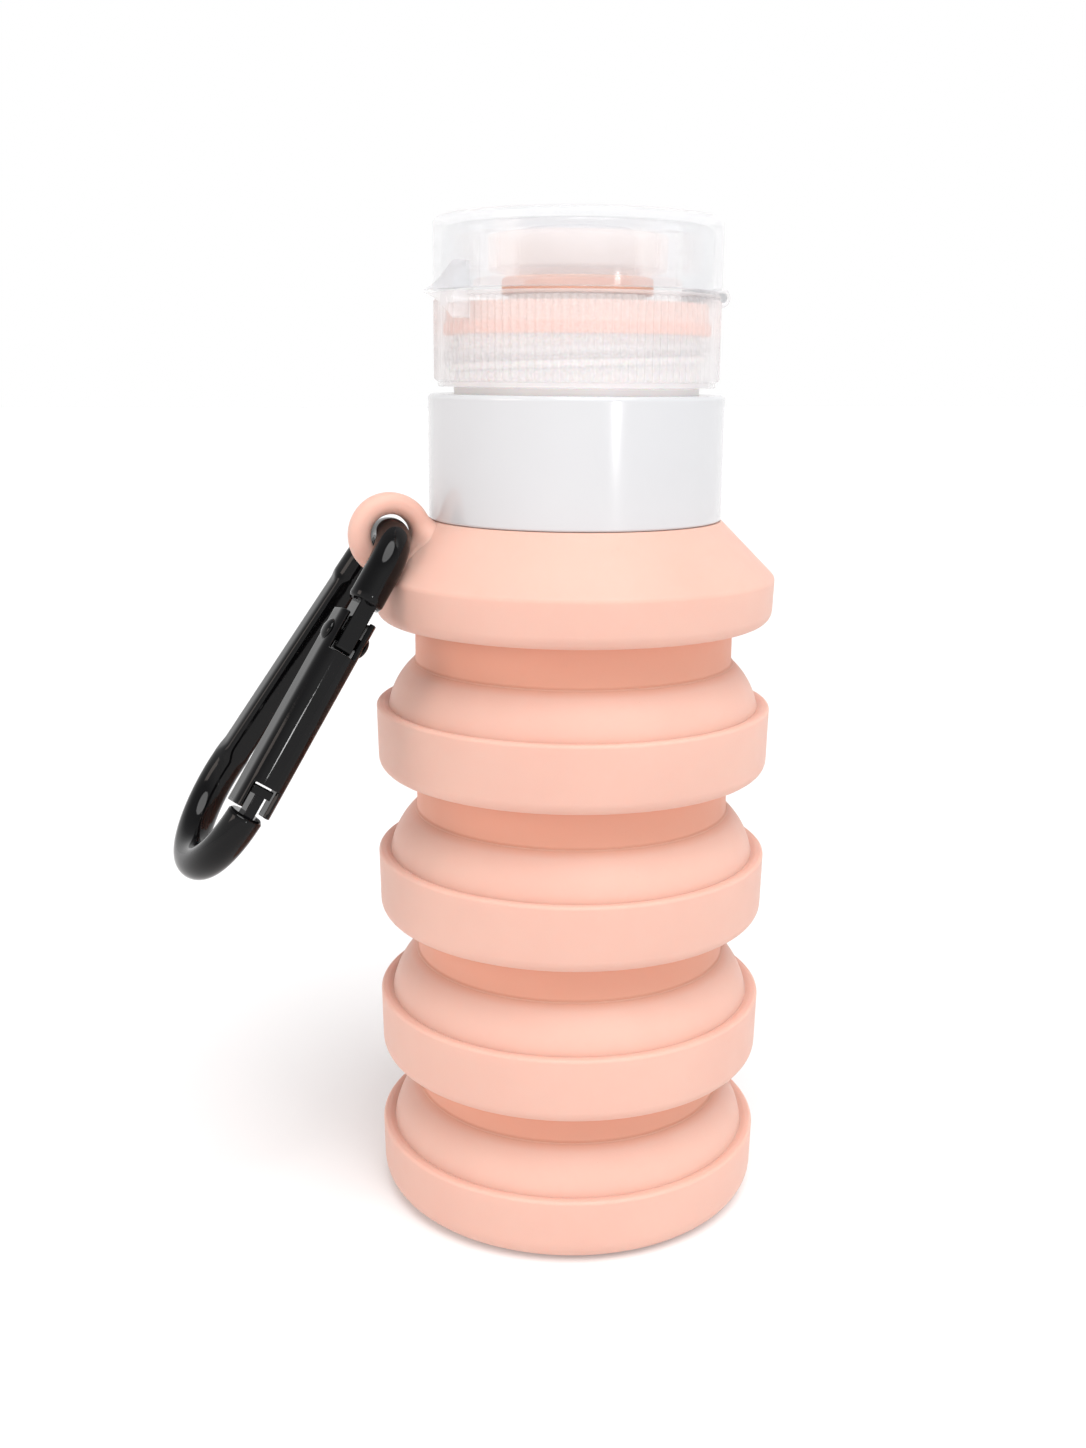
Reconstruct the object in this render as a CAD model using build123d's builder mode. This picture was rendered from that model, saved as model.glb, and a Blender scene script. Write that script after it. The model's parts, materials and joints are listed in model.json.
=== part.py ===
from build123d import *
from math import asin, cos, radians, sin, sqrt
import os

# A folding water bottle: a silicone bellows of thick bands and thin fold walls, a hard
# collar and threaded neck, a screw cap with a spout and a hinged clear cover, and a
# carabiner hanging from a loop on the shoulder.
# Millimetres. Origin: centre of the flat underside. +Z up, the loop stands towards -X.

# ---- bellows: bands, fold walls and narrow walls -------------------------------------
band_r = 36.1            # outside radius of every band
band_h = 12.4            # band height, underside to lip
band_wall = 2.6          # leaves room inside for a fold wall turned inside out
band_foot_round = 2.6    # rounding of a band's lower edge
base_foot_round = 4.5    # rounding of the base's lower edge
lip_round = 2.0
lip_w = 2.2              # from the band's outside to the crease behind its lip
lip_drop = 0.6           # the crease lies this far below the lip
dome_rise = 8.5          # height of a fold wall, crease to narrow wall
fold_root_t = 1.4        # thickness of a fold wall at its crease
fold_run = 5.0           # how far a fold wall comes in, crease to narrow wall
root_ledge_h = 2.0       # height of the bevelled ledge under a fold wall's root
waist_h = 7.4            # narrow wall between fold wall and band
base_waist_h = 6.6       # the same above the base
waist_wall = 2.2
shelf_t = 2.4            # floor of a band, from the narrow wall out to the band
base_floor = 3.0
ring_count = 3           # loose bands between the base and the shoulder

# ---- shoulder, loop and collar -------------------------------------------------------
shoulder_wall_h = 8.2    # straight side below the 45 degree cone
cone_wall = 3.2
collar_r = 26.2
collar_h = 21.7
collar_wall = 2.0
collar_cap_t = 1.8       # inward flange on the collar's top
collar_round = 0.8
loop_foot = 0.65         # loop's hole to the cone's surface, square to it
loop_drop = 2.1          # loop hole centre below the collar's foot
loop_clear = 0.55        # carabiner's rod to the loop's hole, all round
loop_rim = 3.7           # width of the loop's ring
loop_t = 4.6
loop_round = 1.7

# ---- threaded neck -------------------------------------------------------------------
sleeve_t = 2.6           # silicone between the neck and the collar
neck_wall = 2.0
flange_w = 2.4           # foot flange, out from the neck
flange_t = 1.6
flange_lap = 1.5         # silicone under the flange
thread_h = 1.3
thread_foot_w = 1.6
thread_crest_w = 0.9
thread_lead = 4.0
thread_sink = 0.15       # how far a thread's foot runs into its wall
neck_turns = 1.5
cap_turns = 1.0
thread_start_up = 2.5    # middle of the neck thread's start above the collar's top
thread_end_gap = 0.6     # neck thread's end to the gasket's skirt

# ---- screw cap, gasket, spout --------------------------------------------------------
cap_clear = 0.5          # neck thread's crest to the cap's inside
rib_depth = 0.45
rib_count = 108
cap_wall = 1.25          # under the ribs
cap_gap = 1.2            # collar top to the cap's lower rim
cap_rim_in = 0.7         # lower rim stands in from the ribs
cap_rim_h = 0.9
deck_t = 1.5
gasket_t = 2.0
gasket_skirt_h = 3.3
gasket_gap = 0.2         # gasket to the neck's top
gasket_clear = 0.3       # gasket skirt to the neck's side
spout_r = 12.0           # outside of the spout's foot
spout_wall = 0.95
spout_foot_h = 3.1       # deck to the flare
spout_flare = 3.6        # how far the mouth stands out from the foot
spout_flare_h = 0.9
spout_mouth_h = 6.0
spout_mouth_wall = 1.2
spout_flange_w = 1.4
seal_w = 1.2
seal_gap = 0.2           # seal's top to the flare

# ---- flip cover and its hinge --------------------------------------------------------
cover_over = 0.1         # cover stands this far out past the cap's ribs
cover_wall = 1.6
cover_head = 1.1         # spout's mouth to the cover's underside
cover_round = 1.0
seam_gap = 0.4           # cap deck to the cover's edge
plug_clear = 0.35        # plug to the spout's bore
plug_wall = 1.2
plug_up = 0.3            # plug's end above the cover's edge
cap_bearing = 8.0           # hinge direction when screwed down, degrees from +X
hinge_out = 1.4          # pin centre outside the cover
knuckle_r = 1.7
knuckle_half = 2.8       # half length of the cover's knuckle
ear_len = 3.1
hinge_gap = 0.3
pin_r = 0.8
pin_run = 0.05           # running clearance round the hinge pin and the gate rivet
latch_w = 12.0
latch_h = 9.6            # blunt end, both halves together
latch_out = 1.6          # latch face outside the cover
latch_hollow = 0.7       # how far its long sides bow inwards

# ---- carabiner -----------------------------------------------------------------------
rod_r = 3.05
clip_len = 65.4          # between rod centres, end to end
clip_top_r = 7.6         # rod centre's bend at the loop
clip_foot_r = 13.6       # rod centre's bend at the wide end
clip_lean = 33.4         # hang direction from vertical, degrees
rod_stub = 6.2           # straight rod between the top bend and the hinge
hinge_end_gap = 2.4      # rod's end to the gate
nose_past = 2.1          # the nose lies this far past the straight side, on the wide bend
rivet_in = 4.1           # gate's end to the rivet
tang_r = 2.6
tang_gap = 1.0           # tang to the gate's cheeks
gate_w = 6.8
gate_back = 3.4          # rivet centre to the gate's back
gate_front = 2.8         # rivet centre to the gate's open edge
gate_wall = 0.9
gate_round = 1.6
gate_gap = 0.7           # gate end to the nose
hinge_notch = 9.0        # notches in the gate's back, along the gate
nose_notch = 6.0
notch_gap = 0.4          # key to the sides of its notch
key_gap = 0.7            # key to the gate's cheeks
key_t = 1.6
key_neck_w = 1.8
key_neck_l = 3.5
key_depth = 3.4
key_sink = 0.8           # how far the key's neck and the tang run into the rod
rivet_r = 1.1
rivet_head_r = 1.9
rivet_head_h = 0.8
spring_r = 1.5
spring_wire_r = 0.35
spring_pitch = 1.6
spring_turns = 6
spring_gap = 0.8         # tang to the spring's first coil
seat_t = 1.0

# ---- derived places ------------------------------------------------------------------
crease_r = band_r - lip_w
crease_h = band_h - lip_drop
dome_top = crease_h + dome_rise
band_in = band_r - band_wall
fold_root_in = crease_r - fold_root_t
waist_r = crease_r - fold_run
waist_in = waist_r - waist_wall
base_pitch = dome_top + base_waist_h
pitch = dome_top + waist_h
band_z = [0] + [base_pitch + pitch * k for k in range(ring_count + 1)]
shoulder_z = band_z[-1]
cone_foot = shoulder_z + shoulder_wall_h
collar_foot = cone_foot + band_r - collar_r
collar_top = collar_foot + collar_h
sleeve_r = collar_r - collar_wall
sleeve_top = collar_top - collar_cap_t
neck_r = sleeve_r - sleeve_t
neck_in = neck_r - neck_wall
flange_r = neck_r + flange_w
flange_foot = collar_foot - flange_t
seat_foot = flange_foot - flange_lap
inner_cone = band_r + cone_foot - cone_wall * sqrt(2)
neck_thread_z = collar_top + thread_start_up
neck_thread_end = neck_thread_z + thread_lead * neck_turns + thread_foot_w / 2
gasket_foot = neck_thread_end + thread_end_gap + gasket_skirt_h
deck_foot = gasket_foot + gasket_t
deck_top = deck_foot + deck_t
neck_top = gasket_foot - gasket_gap
cap_foot = collar_top + cap_gap
cap_h = deck_top - cap_foot
cap_in = neck_r + thread_h + cap_clear
cap_root_r = cap_in + cap_wall
cap_r = cap_root_r + rib_depth
spout_in = spout_r - spout_wall
flare_foot = deck_top + spout_foot_h
flare_top = flare_foot + spout_flare_h
mouth_top = flare_top + spout_mouth_h
mouth_r = spout_r + spout_flare
seam_z = deck_top + seam_gap / 2
cover_r = cap_r + cover_over
cover_foot = deck_top + seam_gap
cover_under = mouth_top + cover_head
cover_top = cover_under + cover_wall
plug_r = spout_in - plug_clear
loop_hole_r = rod_r + loop_clear
loop_z = collar_foot - loop_drop
loop_rho = collar_r + loop_drop + (loop_hole_r + loop_foot) * sqrt(2)
side_turn = asin((clip_foot_r - clip_top_r) / (clip_len - clip_top_r - clip_foot_r))
side_len = (clip_len - clip_top_r - clip_foot_r) * cos(side_turn)
nose_sag = clip_foot_r - sqrt(clip_foot_r**2 - nose_past**2)
nose_s = side_len + nose_past
gate_start_s = rod_stub + hinge_end_gap
rivet_s = gate_start_s + rivet_in
gate_end_s = nose_s - gate_gap
gate_half_in = gate_w / 2 - gate_wall
tang_t = 2 * (gate_half_in - tang_gap)
key_w = 2 * (gate_half_in - key_gap)
notch_w = key_w + 2 * notch_gap

os.makedirs("parts", exist_ok=True)


def corner(section, r, z):
    """The section's vertex nearest to radius r and height z."""
    return section.vertices().sort_by_distance(Vertex(r, z, 0))[0]


# ---- base cup ------------------------------------------------------------------------
with BuildPart() as base_cup:
    with BuildSketch(Plane.XZ) as base_section:
        with BuildLine():
            Polyline(
                (0, 0), (band_r, 0), (band_r, band_h), (crease_r, band_h), (crease_r, crease_h),
                (fold_root_in, crease_h), (band_in, crease_h - root_ledge_h),
                (band_in, base_floor), (0, base_floor), close=True,
            )
        make_face()
        fillet(corner(base_section, band_r, 0), base_foot_round)
        fillet(corner(base_section, band_r, band_h), lip_round)
        fillet(corner(base_section, band_in, base_floor), base_foot_round - base_floor / 2)
    revolve(axis=Axis.Z)
base_cup.part.label = "base_cup"
export_step(base_cup.part, "parts/base_cup.step")

# ---- loose bands, each with the narrow wall that hangs below it ----------------------
for number in range(2, ring_count + 2):
    foot = band_z[number - 1]
    waist_foot = band_z[number - 2] + dome_top
    with BuildPart() as ring:
        with BuildSketch(Plane.XZ) as ring_section:
            with BuildLine():
                Polyline(
                    (waist_in, waist_foot), (waist_r, waist_foot), (waist_r, foot), (band_r, foot),
                    (band_r, foot + band_h), (crease_r, foot + band_h), (crease_r, foot + crease_h),
                    (fold_root_in, foot + crease_h), (band_in, foot + crease_h - root_ledge_h),
                    (band_in, foot + shelf_t), (waist_in, foot + shelf_t), close=True,
                )
            make_face()
            fillet(corner(ring_section, band_r, foot), band_foot_round)
            fillet(corner(ring_section, band_r, foot + band_h), lip_round)
        revolve(axis=Axis.Z)
    ring.part.label = f"ring_{number}"
    export_step(ring.part, f"parts/ring_{number}.step")

# ---- thin fold walls: each leaves its crease upright and rounds over to the waist ----
for number in range(1, ring_count + 2):
    foot = band_z[number - 1]
    with BuildPart() as fold_wall:
        with BuildSketch(Plane.XZ):
            with BuildLine():
                outside = TangentArc(
                    (crease_r, foot + crease_h), (waist_r, foot + dome_top), tangent=(0, 1)
                )
                inside = TangentArc(
                    (fold_root_in, foot + crease_h), (waist_in, foot + dome_top), tangent=(0, 1)
                )
                Line(outside @ 1, inside @ 1)
                Line(inside @ 0, outside @ 0)
            make_face()
        revolve(axis=Axis.Z)
    fold_wall.part.label = f"fold_wall_{number}"
    export_step(fold_wall.part, f"parts/fold_wall_{number}.step")

# ---- shoulder: top band, cone and the sleeve inside the collar -----------------------
with BuildPart() as shoulder:
    with BuildSketch(Plane.XZ) as shoulder_section:
        with BuildLine():
            Polyline(
                (waist_in, band_z[-2] + dome_top), (waist_r, band_z[-2] + dome_top),
                (waist_r, shoulder_z), (band_r, shoulder_z), (band_r, cone_foot),
                (collar_r, collar_foot), (sleeve_r, collar_foot), (sleeve_r, sleeve_top),
                (neck_r, sleeve_top), (neck_r, collar_foot), (flange_r, collar_foot),
                (flange_r, flange_foot), (neck_in, flange_foot), (neck_in, seat_foot),
                (inner_cone - seat_foot, seat_foot), (band_in, inner_cone - band_in),
                (band_in, shoulder_z + shelf_t), (waist_in, shoulder_z + shelf_t),
                close=True,
            )
        make_face()
        fillet(corner(shoulder_section, band_r, shoulder_z), band_foot_round)
        fillet(corner(shoulder_section, band_r, cone_foot), lip_round / 2)
    revolve(axis=Axis.Z)
shoulder.part.label = "shoulder"
export_step(shoulder.part, "parts/shoulder.step")

# ---- carabiner loop, moulded on the cone ---------------------------------------------
loop_centre = Vector(-loop_rho, 0, loop_z)
with BuildPart() as hang_loop:
    with BuildSketch(Plane(origin=loop_centre, x_dir=(-1, 0, 0), z_dir=(0, 0, 1))):
        with Locations((loop_hole_r + loop_rim / 2, 0)):
            RectangleRounded(loop_rim, loop_t, loop_round)
    revolve(axis=Axis(loop_centre, (0, 1, 0)))
    with BuildSketch(Plane.XZ):
        with BuildLine():
            Polyline(
                (0, shoulder_z), (band_r, shoulder_z), (band_r, cone_foot),
                (collar_r, collar_foot), (collar_r, collar_top), (0, collar_top), close=True,
            )
        make_face()
    revolve(axis=Axis.Z, mode=Mode.SUBTRACT)
hang_loop.part.label = "hang_loop"
export_step(hang_loop.part, "parts/hang_loop.step")

# ---- collar --------------------------------------------------------------------------
with BuildPart() as collar:
    with BuildSketch(Plane.XZ) as collar_section:
        with BuildLine():
            Polyline(
                (sleeve_r, collar_foot), (collar_r, collar_foot), (collar_r, collar_top),
                (neck_r, collar_top), (neck_r, sleeve_top), (sleeve_r, sleeve_top), close=True,
            )
        make_face()
        fillet(corner(collar_section, collar_r, collar_foot), collar_round / 2)
        fillet(corner(collar_section, collar_r, collar_top), collar_round)
    revolve(axis=Axis.Z)
collar.part.label = "collar"
export_step(collar.part, "parts/collar.step")


def thread_profile(root_r, crest_r, z):
    """Trapezium across the thread at angle zero, its foot sunk a little into the wall."""
    foot_r = root_r - thread_sink if crest_r > root_r else root_r + thread_sink
    with BuildSketch(Plane.XZ) as profile:
        with BuildLine():
            Polyline(
                (foot_r, z - thread_foot_w / 2), (crest_r, z - thread_crest_w / 2),
                (crest_r, z + thread_crest_w / 2), (foot_r, z + thread_foot_w / 2), close=True,
            )
        make_face()
    return profile.sketch


# ---- threaded neck -------------------------------------------------------------------
with BuildPart() as threaded_neck:
    with BuildSketch(Plane.XZ):
        with BuildLine():
            Polyline(
                (neck_in, flange_foot), (flange_r, flange_foot), (flange_r, collar_foot),
                (neck_r, collar_foot), (neck_r, neck_top), (neck_in, neck_top), close=True,
            )
        make_face()
    revolve(axis=Axis.Z)
    with BuildLine() as neck_helix:
        Helix(thread_lead, thread_lead * neck_turns, neck_r, center=(0, 0, neck_thread_z))
    sweep(
        sections=thread_profile(neck_r, neck_r + thread_h, neck_thread_z),
        path=neck_helix.wires()[0], is_frenet=True,
    )
threaded_neck.part.label = "threaded_neck"
export_step(threaded_neck.part, "parts/threaded_neck.step")

# ---- planes turned with the cap ------------------------------------------------------
to_hinge = Vector(cos(radians(cap_bearing)), sin(radians(cap_bearing)), 0)
hinge_axis = Vector(-sin(radians(cap_bearing)), cos(radians(cap_bearing)), 0)
hinge_point = to_hinge * (cover_r + hinge_out) + Vector(0, 0, seam_z)
hinge_plane = Plane(origin=hinge_point, x_dir=to_hinge, z_dir=-hinge_axis)
ear_middle = knuckle_half + hinge_gap + ear_len / 2
latch_plane = Plane(
    origin=Vector(0, 0, seam_z) - to_hinge * cap_in, x_dir=-hinge_axis, z_dir=-to_hinge
)
latch_depth = cover_r + latch_out - cap_in


def latch_half(side):
    """Half of the arrow-shaped lift lug: side is 1 above the seam and -1 below it."""
    with BuildPart() as half:
        with BuildSketch(latch_plane):
            with BuildLine():
                tip = (-latch_w / 2, side * seam_gap / 2)
                top = (latch_w / 2, side * latch_h / 2)
                waist = (0, side * (latch_h / 4 - latch_hollow))
                ThreePointArc(tip, waist, top)
                Polyline(top, (latch_w / 2, side * seam_gap / 2), tip)
            make_face()
        extrude(amount=latch_depth)
    return half.part


lower_latch = latch_half(-1)
upper_latch = latch_half(1)

# ---- screw cap: ribbed skirt, deck, inside thread, hinge ears, lower latch half ------
cap_thread_z = neck_thread_z + thread_lead / 2
with BuildPart() as screw_cap:
    with BuildSketch(Plane.XY.offset(cap_foot + cap_rim_h)):
        with BuildLine():
            step = 180 / rib_count
            Polyline(
                *[
                    ((cap_root_r, cap_r)[k % 2] * cos(radians(k * step)),
                     (cap_root_r, cap_r)[k % 2] * sin(radians(k * step)))
                    for k in range(2 * rib_count)
                ],
                close=True,
            )
        make_face()
    extrude(amount=cap_h - cap_rim_h - seam_gap)
    with BuildSketch(Plane.XY.offset(cap_foot)):
        Circle(cap_r - cap_rim_in)
    extrude(amount=cap_rim_h)
    with BuildSketch(Plane.XY.offset(deck_top - seam_gap)):
        Circle(cap_root_r)
    extrude(amount=seam_gap)
    add(lower_latch)
    with BuildSketch(hinge_plane):
        Circle(knuckle_r)
        with Locations((-knuckle_r, -knuckle_r / 2 - seam_gap / 4)):
            Rectangle(2 * knuckle_r, knuckle_r - seam_gap / 2)
    extrude(amount=ear_middle + ear_len / 2, both=True)
    with BuildSketch(hinge_plane):
        Circle(knuckle_r + hinge_gap)
    extrude(amount=knuckle_half + hinge_gap, both=True, mode=Mode.SUBTRACT)
    with BuildSketch(hinge_plane):
        Circle(pin_r)
    extrude(amount=ear_middle + ear_len, both=True, mode=Mode.SUBTRACT)
    with BuildSketch(Plane.XY.offset(cap_foot)):
        Circle(cap_in)
    extrude(amount=cap_h - deck_t, mode=Mode.SUBTRACT)
    with BuildSketch(Plane.XY.offset(deck_foot)):
        Circle(spout_r)
    extrude(amount=deck_t, mode=Mode.SUBTRACT)
    with BuildLine() as cap_helix:
        Helix(thread_lead, thread_lead * cap_turns, cap_in, center=(0, 0, cap_thread_z))
    sweep(
        sections=thread_profile(cap_in, cap_in - thread_h, cap_thread_z),
        path=cap_helix.wires()[0], is_frenet=True,
    )
screw_cap.part.label = "screw_cap"
export_step(screw_cap.part, "parts/screw_cap.step")

# ---- gasket under the deck, with a skirt round the neck's mouth ----------------------
with BuildPart() as cap_gasket:
    with BuildSketch(Plane.XZ):
        with BuildLine():
            Polyline(
                (spout_r + spout_flange_w, gasket_foot), (neck_r + gasket_clear, gasket_foot),
                (neck_r + gasket_clear, gasket_foot - gasket_skirt_h),
                (cap_in, gasket_foot - gasket_skirt_h), (cap_in, deck_foot),
                (spout_r + spout_flange_w, deck_foot), close=True,
            )
        make_face()
    revolve(axis=Axis.Z)
cap_gasket.part.label = "cap_gasket"
export_step(cap_gasket.part, "parts/cap_gasket.step")

# ---- spout: held by a flange under the deck, flared above it -------------------------
with BuildPart() as spout:
    with BuildSketch(Plane.XZ) as spout_section:
        with BuildLine():
            Polyline(
                (spout_in, gasket_foot), (spout_r + spout_flange_w, gasket_foot),
                (spout_r + spout_flange_w, deck_foot), (spout_r, deck_foot), (spout_r, flare_foot),
                (mouth_r, flare_top), (mouth_r, mouth_top), (mouth_r - spout_mouth_wall, mouth_top),
                (mouth_r - spout_mouth_wall, flare_top + spout_mouth_wall),
                (spout_in, flare_foot + spout_mouth_wall), close=True,
            )
        make_face()
        fillet(corner(spout_section, mouth_r, flare_top), spout_mouth_wall / 2)
    revolve(axis=Axis.Z)
spout.part.label = "spout"
export_step(spout.part, "parts/spout.step")

with BuildPart() as spout_seal:
    with BuildSketch(Plane.XY.offset(deck_top)):
        Circle(spout_r + seal_w)
        Circle(spout_r, mode=Mode.SUBTRACT)
    extrude(amount=spout_foot_h - seal_gap)
spout_seal.part.label = "spout_seal"
export_step(spout_seal.part, "parts/spout_seal.step")

# ---- flip cover: clear cup with the plug, hinge knuckle and upper latch half ---------
with BuildPart() as flip_cover:
    with BuildSketch(Plane.XZ) as cover_section:
        with BuildLine():
            Polyline(
                (cover_r - cover_wall, cover_foot), (cover_r, cover_foot), (cover_r, cover_top),
                (0, cover_top), (0, cover_under), (plug_r - plug_wall, cover_under),
                (plug_r - plug_wall, cover_foot + plug_up), (plug_r, cover_foot + plug_up),
                (plug_r, cover_under), (cover_r - cover_wall, cover_under), close=True,
            )
        make_face()
        fillet(corner(cover_section, cover_r, cover_top), cover_round)
    revolve(axis=Axis.Z)
    add(upper_latch)
    with BuildSketch(hinge_plane):
        with Locations((-knuckle_r, knuckle_r / 2 + seam_gap / 4)):
            Rectangle(2 * knuckle_r, knuckle_r - seam_gap / 2)
    extrude(amount=knuckle_half, both=True)
    for side in (-1, 1):
        with BuildSketch(hinge_plane.offset(side * ear_middle)):
            Circle(knuckle_r + hinge_gap)
        extrude(amount=ear_len / 2 + hinge_gap, both=True, mode=Mode.SUBTRACT)
    with BuildSketch(hinge_plane):
        Circle(knuckle_r)
    extrude(amount=knuckle_half, both=True)
    with BuildSketch(Plane.XY.offset(cover_foot)):
        Circle(cover_r - cover_wall)
        Circle(plug_r, mode=Mode.SUBTRACT)
    extrude(amount=cover_under - cover_foot, mode=Mode.SUBTRACT)
    with BuildSketch(hinge_plane):
        Circle(pin_r + pin_run)
    extrude(amount=knuckle_half * 2, both=True, mode=Mode.SUBTRACT)
flip_cover.part.label = "flip_cover"
export_step(flip_cover.part, "parts/flip_cover.step")

with BuildPart() as hinge_pin:
    with BuildSketch(hinge_plane):
        Circle(pin_r)
    extrude(amount=ear_middle + ear_len / 2, both=True)
hinge_pin.part.label = "hinge_pin"
export_step(hinge_pin.part, "parts/hinge_pin.step")

# ---- carabiner: x runs down the clip, y across it to the spine -----------------------
lean = radians(clip_lean)
clip_down = Vector(-sin(lean), 0, -cos(lean))
clip_across = Vector(0, 1, 0)
clip_normal = clip_down.cross(clip_across)
clip_plane = Plane(origin=loop_centre, x_dir=clip_down, z_dir=clip_normal)
top_side = Vector(clip_top_r * (1 - sin(side_turn)), clip_top_r * cos(side_turn))
foot_side = Vector(
    clip_len - clip_foot_r * (1 + sin(side_turn)), clip_foot_r * cos(side_turn)
)

# The gate's plane: x runs along the straight side from the top bend to the nose.
gate_down = clip_down * cos(side_turn) - clip_across * sin(side_turn)
gate_plane = Plane(
    origin=clip_plane.from_local_coords((top_side.X, -top_side.Y, 0)),
    x_dir=gate_down, z_dir=clip_normal,
)
key_foot = nose_s - key_neck_l
with BuildPart() as carabiner_frame:
    with BuildLine() as rod_path:
        hinge_end = gate_plane.from_local_coords((rod_stub, 0, 0))
        gate_top = gate_plane.origin
        spine_top = clip_plane.from_local_coords((top_side.X, top_side.Y, 0))
        spine_foot = clip_plane.from_local_coords((foot_side.X, foot_side.Y, 0))
        nose_end = gate_plane.from_local_coords((nose_s, nose_sag, 0))
        Line(hinge_end, gate_top)
        ThreePointArc(gate_top, loop_centre, spine_top)
        Line(spine_top, spine_foot)
        ThreePointArc(spine_foot, clip_plane.from_local_coords((clip_len, 0, 0)), nose_end)
    with BuildSketch(Plane(origin=rod_path.line @ 0, z_dir=rod_path.line % 0)):
        Circle(rod_r)
    sweep(path=rod_path.wires()[0])
    with BuildSketch(gate_plane):
        with Locations((rivet_s, 0)):
            Circle(tang_r)
        with Locations(((rivet_s + rod_stub - key_sink) / 2, 0)):
            Rectangle(rivet_s - rod_stub + key_sink, 2 * tang_r)
    extrude(amount=tang_t / 2, both=True)
    with BuildSketch(gate_plane):
        with Locations((nose_s + (key_sink - key_neck_l) / 2, 0)):
            Rectangle(key_neck_l + key_sink, key_depth)
    extrude(amount=key_neck_w / 2, both=True)
    with BuildSketch(gate_plane):
        with Locations((key_foot - key_t / 2, 0)):
            Rectangle(key_t, key_depth)
    extrude(amount=key_w / 2, both=True)
    with BuildSketch(gate_plane):
        with Locations((rivet_s, 0)):
            Circle(rivet_r + pin_run)
    extrude(amount=tang_t, both=True, mode=Mode.SUBTRACT)
carabiner_frame.part.label = "carabiner_frame"
export_step(carabiner_frame.part, "parts/carabiner_frame.step")

spring_start_s = rivet_s + tang_r + spring_gap
seat_s = spring_start_s + spring_pitch * spring_turns + spring_wire_r
gate_across = Plane(
    origin=gate_plane.from_local_coords((gate_start_s, 0, 0)),
    x_dir=gate_plane.y_dir, z_dir=gate_down,
)
with BuildPart() as carabiner_gate:
    with BuildSketch(gate_across):
        with BuildLine():
            Polyline(
                (gate_front, gate_w / 2), (-gate_back, gate_w / 2), (-gate_back, -gate_w / 2),
                (gate_front, -gate_w / 2), close=True,
            )
        channel = make_face()
        fillet(channel.vertices().group_by(Axis.X)[0], gate_round)
        with BuildLine():
            Polyline(
                (gate_front, gate_half_in), (gate_wall - gate_back, gate_half_in),
                (gate_wall - gate_back, -gate_half_in), (gate_front, -gate_half_in), close=True,
            )
        make_face(mode=Mode.SUBTRACT)
    extrude(amount=gate_end_s - gate_start_s)
    with BuildSketch(gate_plane):
        with Locations((gate_start_s + hinge_notch / 2, -gate_back)):
            Rectangle(hinge_notch, 2 * gate_round)
        with Locations((gate_end_s - nose_notch / 2, -gate_back)):
            Rectangle(nose_notch, 2 * gate_round)
    extrude(amount=notch_w / 2, both=True, mode=Mode.SUBTRACT)
    with BuildSketch(gate_plane):
        with Locations((seat_s + seat_t / 2, 0)):
            Rectangle(seat_t, 2 * (gate_back - gate_wall))
    extrude(amount=gate_half_in, both=True)
    with BuildSketch(gate_plane):
        with Locations((rivet_s, 0)):
            Circle(rivet_r)
    extrude(amount=gate_w, both=True, mode=Mode.SUBTRACT)
carabiner_gate.part.label = "carabiner_gate"
export_step(carabiner_gate.part, "parts/carabiner_gate.step")

with BuildPart() as gate_rivet:
    with BuildSketch(gate_plane):
        with Locations((rivet_s, 0)):
            Circle(rivet_r)
    extrude(amount=gate_w / 2 + rivet_head_h / 2, both=True)
    for side in (-1, 1):
        with BuildSketch(gate_plane.offset(side * (gate_w + rivet_head_h) / 2)):
            with Locations((rivet_s, 0)):
                Circle(rivet_head_r)
        extrude(amount=rivet_head_h / 2, both=True)
    rims = gate_rivet.edges().filter_by(GeomType.CIRCLE).group_by(Axis(gate_plane.origin, clip_normal))
    fillet(rims[0] + rims[-1], rivet_head_h / 2)
gate_rivet.part.label = "gate_rivet"
export_step(gate_rivet.part, "parts/gate_rivet.step")

spring_foot = gate_plane.from_local_coords((spring_start_s, 0, 0))
with BuildPart() as gate_spring:
    with BuildLine() as coil:
        Helix(
            spring_pitch, spring_pitch * spring_turns, spring_r,
            center=spring_foot, direction=gate_down,
        )
    with BuildSketch(Plane(origin=coil.line @ 0, z_dir=coil.line % 0)):
        Circle(spring_wire_r)
    sweep(path=coil.wires()[0], is_frenet=True)
gate_spring.part.label = "gate_spring"
export_step(gate_spring.part, "parts/gate_spring.step")
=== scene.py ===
import json
import math

import bmesh
import bpy
import numpy as np
from mathutils import Matrix, Vector


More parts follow.
